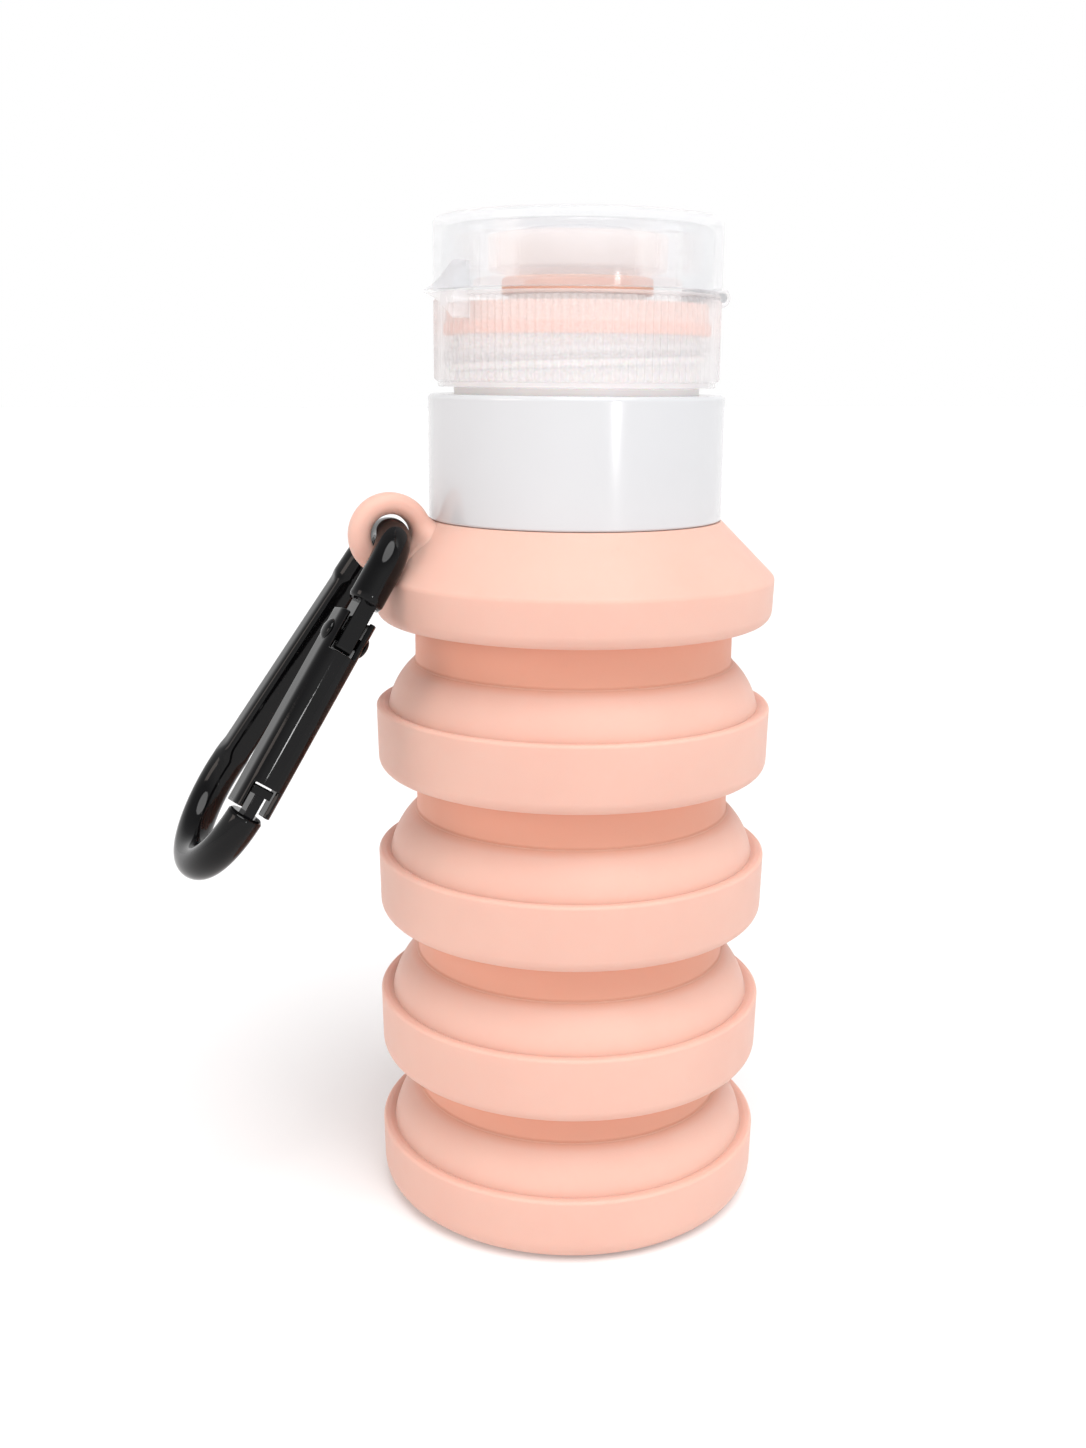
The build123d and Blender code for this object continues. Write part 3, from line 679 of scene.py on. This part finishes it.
def helix_ridge(name, root_r, crest_r, z, turns):
    """A thread: a trapezium wound round the axis, each end running out over 1/18 turn."""
    steps_a_turn, run_outs_a_turn = 140, 18
    sink = math.copysign(0.1 * MM, crest_r - root_r)
    section = [(0.0, -THREAD_FOOT_W / 2), (1.0, -THREAD_CREST_W / 2),
               (1.0, THREAD_CREST_W / 2), (0.0, THREAD_FOOT_W / 2)]
    steps = int(steps_a_turn * turns)
    verts, faces = [], []
    for i in range(steps + 1):
        share = i / steps
        a = 2 * math.pi * turns * share
        ends = min(1.0, min(share, 1 - share) * turns * run_outs_a_turn)
        for height, across in section:
            r = root_r - sink + (crest_r - root_r + sink) * height * ends
            height_here = z + THREAD_LEAD * turns * share + across
            verts.append((r * math.cos(a), r * math.sin(a), height_here))
    for i in range(steps):
        for j in range(4):
            n = (j + 1) % 4
            faces.append((4 * i + j, 4 * i + n, 4 * i + 4 + n, 4 * i + 4 + j))
    faces += [(0, 1, 2, 3), tuple(4 * steps + j for j in (3, 2, 1, 0))]
    return mesh_object(name, verts, faces)


def hinge_matrix():
    """Local x outwards, y up, z along the hinge pin."""
    up = Vector((0, 0, 1))
    out = HINGE_AXIS.cross(up)
    return Matrix.Translation(HINGE) @ Matrix((out, up, -HINGE_AXIS)).transposed().to_4x4()


def knuckle(name, half_start, half_end, side, web_up):
    """One knuckle of the hinge: a barrel round the pin and the web that roots it."""
    bore, radius, gap, chamfer = 0.82 * MM, 1.7 * MM, 0.2 * MM, 0.25 * MM
    web_root, web_end = -3.0 * MM, -0.9 * MM
    around = 48
    low, high = sorted((side * half_start, side * half_end))
    angles = np.linspace(0, 2 * math.pi, around, endpoint=False)
    ring = [(math.cos(a), math.sin(a)) for a in angles]
    matrix = hinge_matrix()
    verts, faces = [], []
    rows = [(radius - chamfer, low), (radius, low + chamfer), (radius, high - chamfer),
            (radius - chamfer, high), (bore, high), (bore, low)]
    for r, z in rows:
        verts += [matrix @ Vector((r * x, r * y, z)) for x, y in ring]
    for i in range(len(rows)):
        k = (i + 1) % len(rows)
        for j in range(around):
            n = (j + 1) % around
            faces.append((around * i + j, around * i + n, around * k + n, around * k + j))
    barrel = mesh_object(name, verts, faces)
    near, far = (gap, radius) if web_up else (-radius, -gap)
    web = plate(
        name + "_web",
        [(web_root, near, 0.1 * MM), (web_end, near, 0.1 * MM),
         (web_end, far, 0.3 * MM), (web_root, far, 0.1 * MM)],
        matrix, low, high, 0.1 * MM,
    )
    return [barrel, web]


def latch_half(name, side):
    """Half of the arrow-shaped lift lug, above (1) or below (-1) the seam."""
    width, height, hollow = 12.0 * MM, 9.6 * MM, 0.7 * MM
    foot, depth, edge = 0.2 * MM, 3.4 * MM, 0.3 * MM
    to_latch = -HINGE_AXIS.cross(Vector((0, 0, 1)))
    right = Vector((0, 0, 1)).cross(to_latch)
    matrix = Matrix.Translation(to_latch * CAP_IN + Vector((0, 0, HINGE.z)))
    matrix = matrix @ Matrix((right, Vector((0, 0, 1)), to_latch)).transposed().to_4x4()
    tip, top = np.array((-width / 2, SEAM / 2)), np.array((width / 2, height / 2))
    share = np.linspace(0, 1, 13)
    bow = np.outer(share, top - tip) + tip
    bow[:, 1] -= hollow * np.sin(math.pi * share)
    bow[:, 1] = np.maximum(bow[:, 1], SEAM / 2)
    corners = [(x, side * y, 0.0) for x, y in bow]
    corners[-1] = (*corners[-1][:2], 0.35 * MM)
    corners.append((width / 2, side * SEAM / 2, 0.1 * MM))
    return plate(name, corners, matrix, foot, depth, edge)


def cap_piece():
    """Ribbed screw cap: skirt, deck, inside thread, hinge ears and the lower latch half."""
    rib_low, rib_high = CAP_FOOT + 1.0 * MM, DECK_TOP - 0.7 * MM
    rib_count, rib_depth, rib_power = 108, 0.45 * MM, 0.8
    fade, fade_rows = 0.45 * MM, (0.0, 0.1, 0.3, 0.6, 1.0)
    foot_r, rim_r = CAP_R - 0.7 * MM, CAP_R - 0.1 * MM
    deck_foot = GASKET_HIGH.z
    ear_start, ear_end = 3.1 * MM, 6.2 * MM

    def ribs(radius, height, angles):
        if radius < CAP_ROOT_R - 0.05 * MM or not rib_low < height < rib_high:
            return 0 * angles
        ends = min(1.0, (height - rib_low) / fade, (rib_high - height) / fade)
        tooth = (0.5 + 0.5 * np.cos(rib_count * angles)) ** rib_power
        return rib_depth * math.sqrt(ends) * tooth

    rib_rows = [
        (CAP_ROOT_R, z, 0.0)
        for z in (*(rib_low + fade * s for s in fade_rows),
                  *(rib_high - fade * s for s in reversed(fade_rows)))
    ]
    corners = [
        (CAP_IN, CAP_FOOT, 0.15 * MM),
        (foot_r, CAP_FOOT, 0.25 * MM),
        (foot_r, CAP_FOOT + 0.85 * MM, 0.1 * MM),
        *rib_rows,
        (rim_r, DECK_TOP - 0.55 * MM, 0.1 * MM),
        (rim_r, DECK_TOP, 0.25 * MM),
        (SPOUT_LOW_R, DECK_TOP, 0.1 * MM),
        (SPOUT_LOW_R, deck_foot, 0.1 * MM),
        (CAP_IN, deck_foot, 0.3 * MM),
    ]
    skirt = turned("cap_skirt", corners, rib_count * 8, ribs)
    thread = helix_ridge("cap_thread", CAP_IN, CAP_IN - THREAD_H, CAP_THREAD_Z, 1.0)
    parts = [skirt, thread, latch_half("cap_latch", -1)]
    for side in (-1, 1):
        parts += knuckle("cap_ear", ear_start, ear_end, side, False)
    obj = finish_piece(joined("cap_shell", parts), FROSTED)
    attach(obj, "cap")
    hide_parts("screw_cap")


def neck_piece():
    """Threaded neck with its foot flange."""
    bore = 19.6 * MM
    flange_low = COLLAR_LOW.z - FLANGE_T
    tube = turned(
        "neck_tube",
        [(bore, flange_low, 0.2 * MM), (FLANGE_R, flange_low, 0.2 * MM),
         (FLANGE_R, COLLAR_LOW.z, 0.2 * MM), (NECK_R, COLLAR_LOW.z, 0.1 * MM),
         (NECK_R, NECK_TOP, 0.5 * MM), (bore, NECK_TOP, 0.5 * MM)],
    )
    thread = helix_ridge("neck_thread", NECK_R, NECK_R + THREAD_H, NECK_THREAD_Z, 1.5)
    obj = finish_piece(joined("neck_insert", [tube, thread]), NECK)
    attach(obj, "shoulder")
    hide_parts("threaded_neck")


def gasket_piece():
    """Cap seal: a disc over the neck's rim with a skirt round it, wider at its foot."""
    skirt_in, disc_in = 21.9 * MM, 13.4 * MM
    disc_foot = NECK_TOP + 0.2 * MM
    low, high = GASKET_LOW.z, GASKET_HIGH.z
    lip_r, upper_r = GASKET_HIGH.x - 0.03 * MM, GASKET_HIGH.x - 0.55 * MM
    lip_top, upper_foot = low + 1.9 * MM, low + 2.3 * MM
    corners = [
        (disc_in, disc_foot, 0.2 * MM), (skirt_in, disc_foot, 0.3 * MM),
        (skirt_in, low, 0.3 * MM), (lip_r, low, 0.3 * MM),
        (lip_r, lip_top, 0.3 * MM), (upper_r, upper_foot, 0.3 * MM),
        (upper_r, high, 0.2 * MM), (disc_in, high, 0.2 * MM),
    ]
    obj = finish_piece(turned("gasket_ring", corners), SEAL)
    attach(obj, "gasket")
    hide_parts("cap_gasket")


def spout_pieces():
    """Flared drinking spout, and the seal round its foot."""
    foot_in, mouth, flange_r = 11.05 * MM, SPOUT_HIGH.x, SPOUT_LOW_R + 1.2 * MM
    flare, flare_h, wall = DECK_TOP + 3.1 * MM, 0.9 * MM, 1.2 * MM
    top = SPOUT_HIGH.z
    corners = [
        (foot_in, SPOUT_LOW.z, 0.2 * MM),
        (flange_r, SPOUT_LOW.z, 0.2 * MM),
        (flange_r, GASKET_HIGH.z, 0.2 * MM),
        (SPOUT_LOW_R, GASKET_HIGH.z, 0.1 * MM),
        (SPOUT_LOW_R, flare, 1.0 * MM),
        (mouth, flare + flare_h, 0.9 * MM),
        (mouth, top, 0.55 * MM),
        (mouth - wall, top, 0.55 * MM),
        (mouth - wall, flare + flare_h + 0.3 * MM, 1.0 * MM),
        (foot_in, flare + wall, 0.6 * MM),
    ]
    obj = finish_piece(turned("spout_mouth", corners), MOUTH)
    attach(obj, "cap")
    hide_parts("spout")
    seal_low, seal_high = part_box("spout_seal")
    gap = 0.02 * MM
    seal_in, seal_foot = SPOUT_LOW_R + gap, seal_low.z + gap
    corners = [
        (seal_in, seal_foot, 0.0),
        (seal_high.x, seal_foot, 0.3 * MM),
        (seal_high.x, seal_high.z, 0.5 * MM),
        (seal_in, seal_high.z, 0.2 * MM),
    ]
    seal = finish_piece(turned("spout_ring", corners), SEAL)
    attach(seal, "cap")
    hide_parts("spout_seal")


def cover_piece():
    """Clear flip cover: cup, plug for the spout, hinge knuckle and the upper latch half."""
    knuckle_half = 2.8 * MM
    foot, under = DECK_TOP + SEAM, COVER_TOP - COVER_WALL
    inner = COVER_R - COVER_WALL
    plug_foot = foot + 0.3 * MM
    corners = [
        (0.0, COVER_TOP, 0.0), (0.0, under, 0.0),
        (PLUG_IN, under, 0.4 * MM), (PLUG_IN, plug_foot, 0.4 * MM),
        (PLUG_R, plug_foot, 0.4 * MM), (PLUG_R, under, 0.6 * MM),
        (inner, under, 0.9 * MM), (inner, foot, 0.3 * MM),
        (COVER_R, foot, 0.3 * MM), (COVER_R, COVER_TOP, 1.0 * MM),
    ]
    parts = [turned("cover_cup", corners, 256), latch_half("cover_latch", 1)]
    parts += knuckle("cover_knuckle", -knuckle_half, knuckle_half, 1, True)
    obj = finish_piece(joined("cover_shell", parts), CLEAR)
    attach(obj, "cover")
    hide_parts("flip_cover")


# ---- carabiner: local x down the clip, y across to the spine, z square to both --------
ROD_R = 3.05 * MM
CLIP_LEN = 65.4 * MM         # overall, to the rod's centre line
CLIP_TOP_R = 7.6 * MM
CLIP_FOOT_R = 13.6 * MM
ROD_STUB = 6.2 * MM          # straight rod before the hinge
HINGE_END_GAP = 2.4 * MM
NOSE_PAST = 2.1 * MM         # how far the foot's bend stops short of the straight side
GATE_GAP = 0.7 * MM
GATE_HALF = 3.4 * MM         # half of the gate's width
TANG_R = 2.6 * MM
COIL_TURNS = 6
COIL_PITCH = 1.6 * MM
COIL_WIRE_R = 0.35 * MM
COIL_GAP = 0.8 * MM          # from the tang to the spring
SIDE_TURN = math.asin((CLIP_FOOT_R - CLIP_TOP_R) / (CLIP_LEN - CLIP_TOP_R - CLIP_FOOT_R))
SIDE_LEN = (CLIP_LEN - CLIP_TOP_R - CLIP_FOOT_R) * math.cos(SIDE_TURN)
TOP_SIDE = Vector((CLIP_TOP_R * (1 - math.sin(SIDE_TURN)), CLIP_TOP_R * math.cos(SIDE_TURN)))
NOSE_S = SIDE_LEN + NOSE_PAST


def clip_matrix():
    across = Vector((0, 1, 0))
    axes = Matrix((across.cross(CLIP_NORMAL), across, CLIP_NORMAL)).transposed().to_4x4()
    return Matrix.Translation(LOOP_CENTRE) @ axes


CLIP = clip_matrix()
# The gate's own axes: x along the straight side from the top bend to the nose.
GATE = CLIP @ Matrix.Translation((TOP_SIDE.x, -TOP_SIDE.y, 0)) @ Matrix.Rotation(-SIDE_TURN, 4, "Z")
RIVET_S = (GATE.inverted() @ RIVET).x


def rod_path():
    """(x, y, tangent x, tangent y) along the rod, from its hinge end round to its nose."""
    c, s = math.cos(SIDE_TURN), math.sin(SIDE_TURN)
    spots = []
    for t in np.linspace(ROD_STUB, 0, 8)[:-1]:
        spots.append((TOP_SIDE.x + t * c, -TOP_SIDE.y - t * s, -c, s))
    quarter = math.pi / 2
    for a in np.linspace(-quarter + SIDE_TURN, quarter - SIDE_TURN, 61):
        spots.append((CLIP_TOP_R * (1 - math.cos(a)), CLIP_TOP_R * math.sin(a),
                      math.sin(a), math.cos(a)))
    for t in np.linspace(0, SIDE_LEN, 80)[1:-1]:
        spots.append((TOP_SIDE.x + t * c, TOP_SIDE.y + t * s, c, s))
    nose = -quarter - SIDE_TURN + math.asin(NOSE_PAST / CLIP_FOOT_R)
    for a in np.linspace(quarter + SIDE_TURN, nose, 91):
        spots.append((CLIP_LEN - CLIP_FOOT_R + CLIP_FOOT_R * math.cos(a),
                      CLIP_FOOT_R * math.sin(a), math.sin(a), -math.cos(a)))
    return spots


def rod_mesh():
    """Round rod, pressed flat along the spine between two scooped steps."""
    around = 64
    top_gap, top_ramp, foot_gap, foot_ramp = 3.2 * MM, 2.0 * MM, 1.0 * MM, 3.0 * MM
    squareness, less_across, less_through, end_ring = 2.2, 0.06, 0.17, 0.86
    spots = rod_path()
    c, s = math.cos(SIDE_TURN), math.sin(SIDE_TURN)
    verts = []
    for i, (u, v, tu, tv) in enumerate(spots):
        along = (u - TOP_SIDE.x) * c + (v - TOP_SIDE.y) * s
        flat = 0.0
        if v > 0.5 * CLIP_TOP_R and 0 < along < SIDE_LEN:
            from_top = (along - top_gap) / top_ramp
            from_foot = (SIDE_LEN - foot_gap - along) / foot_ramp
            flat = smooth_step(min(from_top, from_foot))
        power = 2.0 / (2.0 + squareness * flat)
        end = end_ring if i in (0, len(spots) - 1) else 1.0
        half_across = ROD_R * (1 - less_across * flat) * end
        half_through = ROD_R * (1 - less_through * flat) * end
        for a in np.linspace(0, 2 * math.pi, around, endpoint=False):
            p, q = math.cos(a), math.sin(a)
            across = half_across * math.copysign(abs(p) ** power, p)
            through = half_through * math.copysign(abs(q) ** power, q)
            verts.append(CLIP @ Vector((u - tv * across, v + tu * across, through)))
    faces = []
    for i in range(len(spots) - 1):
        for j in range(around):
            n = (j + 1) % around
            faces.append((i * around + j, i * around + n,
                          (i + 1) * around + n, (i + 1) * around + j))
    faces += [tuple(range(around)), tuple(range(len(verts) - around, len(verts)))]
    return mesh_object("clip_rod", verts, faces)


def clip_piece():
    """Rod frame with the hinge tang at one end and the key of the nose at the other."""
    tang_half, key_deep = 1.5 * MM, 1.7 * MM
    neck_half, head_half, sink = 0.9 * MM, 1.8 * MM, 0.8 * MM
    neck_start, neck_end = NOSE_S - 3.6 * MM, NOSE_S + sink
    head_start, head_end = NOSE_S - 5.1 * MM, NOSE_S - 3.5 * MM
    tang = plate(
        "clip_tang",
        [(ROD_STUB - sink, -TANG_R, 0.0), (RIVET_S + TANG_R, -TANG_R, 0.9 * MM),
         (RIVET_S + TANG_R, TANG_R, TANG_R), (ROD_STUB - sink, TANG_R, 0.0)],
        GATE, -tang_half, tang_half, 0.25 * MM,
    )
    neck = plate(
        "clip_key_neck",
        [(neck_start, -key_deep, 0.0), (neck_end, -key_deep, 0.0),
         (neck_end, key_deep, 0.0), (neck_start, key_deep, 0.0)],
        GATE, -neck_half, neck_half, 0.12 * MM,
    )
    head = plate(
        "clip_key_head",
        [(head_start, -key_deep, 0.3 * MM), (head_end, -key_deep, 0.1 * MM),
         (head_end, key_deep, 0.1 * MM), (head_start, key_deep, 0.3 * MM)],
        GATE, -head_half, head_half, 0.15 * MM,
    )
    obj = finish_piece(
        joined("clip_frame", [rod_mesh(), tang, neck, head]), ENAMEL
    )
    even_normals(obj)
    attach(obj, "clip")
    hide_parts("carabiner_frame")


def gate_piece():
    """Sheet-metal gate: a channel with its back outwards, notched over tang and key."""
    wall, back, front = 0.9 * MM, 3.4 * MM, 2.8 * MM
    back_row, edge = 0.7 * MM, 0.18 * MM
    seat_low, seat_high, seat_half, seat_t = -2.5 * MM, 2.4 * MM, 2.6 * MM, 1.0 * MM
    start, end = ROD_STUB + HINGE_END_GAP, NOSE_S - GATE_GAP
    notch_start, notch_end = RIVET_S + 2.75 * MM, end - 4.7 * MM
    mid_half, mid_back = GATE_HALF - wall / 2, back - wall / 2
    turn, slot_half = 2.0 * MM, 2.2 * MM
    profile = [(f, mid_half) for f in np.linspace(front, -mid_back + turn, 8)]
    profile += [
        (-mid_back + turn - turn * math.sin(a), mid_half - turn + turn * math.cos(a))
        for a in np.linspace(0, math.pi / 2, 8)[1:]
    ]
    profile.append((-mid_back, back_row))
    profile += [(f, -h) for f, h in reversed(profile)]
    rows = [*np.linspace(start, notch_start, 8), *np.linspace(notch_start, notch_end, 18)[1:],
            *np.linspace(notch_end, end, 6)[1:]]
    verts = [GATE @ Vector((x, f, h)) for x in rows for f, h in profile]
    count, faces = len(profile), []
    for i in range(len(rows) - 1):
        middle = (rows[i] + rows[i + 1]) / 2
        for j in range(count - 1):
            in_slot = max(abs(profile[j][1]), abs(profile[j + 1][1])) < slot_half
            if in_slot and not notch_start < middle < notch_end:
                continue
            faces.append((i * count + j, i * count + j + 1,
                          (i + 1) * count + j + 1, (i + 1) * count + j))
    channel = mesh_object("gate_channel", verts, faces)
    solid = channel.modifiers.new("sheet", "SOLIDIFY")
    solid.thickness, solid.offset, solid.use_even_offset = wall, 0.0, True
    apply_modifiers(channel)
    soften(channel, edge, angle=50)
    coil = COIL_TURNS * COIL_PITCH + COIL_WIRE_R
    seat_start = RIVET_S + TANG_R + COIL_GAP + coil
    seat_end = seat_start + seat_t
    seat = plate(
        "gate_seat",
        [(seat_start, seat_low, 0.0), (seat_end, seat_low, 0.0),
         (seat_end, seat_high, 0.0), (seat_start, seat_high, 0.0)],
        GATE, -seat_half, seat_half,
    )
    obj = finish_piece(joined("gate_shell", [channel, seat]), ENAMEL)
    even_normals(obj)
    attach(obj, "gate")
    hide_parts("carabiner_gate")


def rivet_piece():
    """Rivet with a domed head on each cheek of the gate."""
    pin, head, dome = 1.1 * MM, 1.9 * MM, 0.8 * MM
    under = GATE_HALF - 0.05 * MM
    arc = [
        (head * math.cos(a), GATE_HALF + dome * math.sin(a))
        for a in np.linspace(0, math.pi / 2, 10)[:-1]
    ]
    upper = [(pin, under), (head, under), *arc, (0.0, GATE_HALF + dome)]
    outline = [(r, -z) for r, z in reversed(upper)] + upper
    verts, faces = turned_mesh(outline, 48)
    matrix = GATE @ Matrix.Translation((RIVET_S, 0, 0))
    obj = mesh_object("gate_pin", [matrix @ Vector(v) for v in verts], faces)
    finish_piece(obj, ENAMEL)
    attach(obj, "gate")
    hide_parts("gate_rivet")


def cad_materials():
    """Finishes for the CAD pieces that are shown as they are."""
    for node in ("hinge_pin", "gate_spring"):
        for material_slot in frame["nodes"][node].material_slots:
            material_slot.material = STEEL


# ---- studio --------------------------------------------------------------------------
FLOOR_SIDE = 12.0
FLOOR_GAP = 0.1 * MM         # below the bottle's foot
HORIZON, OVERHEAD = 0.26, 0.7  # upward share of a direction, where the surround dims
OVERHEAD_COLOUR = (0.42, 0.42, 0.43, 1)
SUN_STRENGTH = 2.6
SUN_AZIMUTH = 2.0            # degrees, as the camera's
SUN_ELEVATION = 64.0
SUN_SPREAD = 44.0            # degrees across
CAMERA_AZIMUTH = -22.0       # degrees, 0 looks along +Y
CAMERA_AWAY = 0.270          # from the bottle's axis
CAMERA_UP = 0.1536
CAMERA_PITCH = 13.3
CAMERA_YAW = 1.15
CAMERA_ROLL = 0.45
CAMERA_LENS = 37.04          # millimetres
CAMERA_SENSOR = 36.0


def camera():
    """The camera in front of the bottle and a little to its left, looking down at it."""
    azimuth, yaw = math.radians(CAMERA_AZIMUTH), math.radians(CAMERA_YAW)
    pitch, roll = math.radians(CAMERA_PITCH), math.radians(CAMERA_ROLL)
    place = Vector((math.sin(azimuth) * CAMERA_AWAY, -math.cos(azimuth) * CAMERA_AWAY, CAMERA_UP))
    heading = azimuth + yaw
    level = Vector((-math.sin(heading), math.cos(heading), 0))
    right = Vector((math.cos(heading), math.sin(heading), 0))
    up = Vector((0, 0, 1))
    ahead = level * math.cos(pitch) - up * math.sin(pitch)
    above = level * math.sin(pitch) + up * math.cos(pitch)
    rolled_right = right * math.cos(roll) + above * math.sin(roll)
    rolled_above = above * math.cos(roll) - right * math.sin(roll)
    data = bpy.data.cameras.new("camera")
    data.lens = CAMERA_LENS
    data.sensor_width = CAMERA_SENSOR
    data.clip_start, data.clip_end = 0.01, 50
    obj = linked("camera", data)
    axes = Matrix((rolled_right, rolled_above, -ahead)).transposed().to_4x4()
    obj.matrix_world = Matrix.Translation(place) @ axes
    bpy.context.scene.camera = obj


def sky_direction(azimuth, elevation):
    """The unit vector towards a place above the horizon, from its angles in degrees."""
    a, e = math.radians(azimuth), math.radians(elevation)
    return Vector((math.sin(a) * math.cos(e), -math.cos(a) * math.cos(e), math.sin(e)))


def faced(obj, out):
    """Turn a light so that it shines from the direction out."""
    obj.rotation_mode = "QUATERNION"
    obj.rotation_quaternion = out.to_track_quat("Z", "Y")


def soft_light(name, azimuth, elevation, away, size, power, colour=(1, 1, 1)):
    """A square softbox on a sphere round the bottle's middle, facing it."""
    middle = Vector((0, 0, (cad_low.z + cad_high.z) / 2))
    out = sky_direction(azimuth, elevation)
    data = bpy.data.lights.new(name, "AREA")
    data.shape, data.size, data.energy, data.color = "SQUARE", size, power, colour
    obj = linked(name, data)
    obj.location = middle + out * away
    faced(obj, out)


def studio():
    """Pale floor, a surround that is white round the horizon and dimmer overhead, a broad
    soft sun from high in front, a small light in front and a warm one at the left."""
    bpy.ops.mesh.primitive_plane_add(size=FLOOR_SIDE, location=(0, 0, cad_low.z - FLOOR_GAP))
    floor = bpy.context.object
    floor.name = "floor"
    floor.data.materials.append(floor_finish())
    world = bpy.data.worlds.new("surround")
    world.use_nodes = True
    bpy.context.scene.world = world
    nodes, links = world.node_tree.nodes, world.node_tree.links
    background = nodes["Background"]
    coordinates = nodes.new("ShaderNodeTexCoord")
    split = nodes.new("ShaderNodeSeparateXYZ")
    ramp = nodes.new("ShaderNodeValToRGB")
    near, far = ramp.color_ramp.elements
    near.position, near.color = HORIZON, (1, 1, 1, 1)
    far.position, far.color = OVERHEAD, OVERHEAD_COLOUR
    links.new(coordinates.outputs["Generated"], split.inputs["Vector"])
    links.new(split.outputs["Z"], ramp.inputs["Fac"])
    links.new(ramp.outputs["Color"], background.inputs["Color"])
    background.inputs["Strength"].default_value = 1.0
    bpy.context.scene.view_settings.view_transform = "Standard"
    sun = bpy.data.lights.new("broad_sun", "SUN")
    sun.energy, sun.angle = SUN_STRENGTH, math.radians(SUN_SPREAD)
    faced(linked("broad_sun", sun), sky_direction(SUN_AZIMUTH, SUN_ELEVATION))
    soft_light("strip", azimuth=8, elevation=4, away=0.8, size=0.06, power=0.42)
    soft_light("side", azimuth=-78, elevation=24, away=0.8, size=0.3, power=0.95,
               colour=(1, 0.86, 0.78))


# ---- build ---------------------------------------------------------------------------
base_piece()
for index in range(1, 4):
    band_piece(index)
for index in range(4):
    fold_piece(index)
shoulder_piece()
loop_piece()
collar_piece()
neck_piece()
cap_piece()
gasket_piece()
spout_pieces()
cover_piece()
clip_piece()
gate_piece()
rivet_piece()
cad_materials()
camera()
studio()
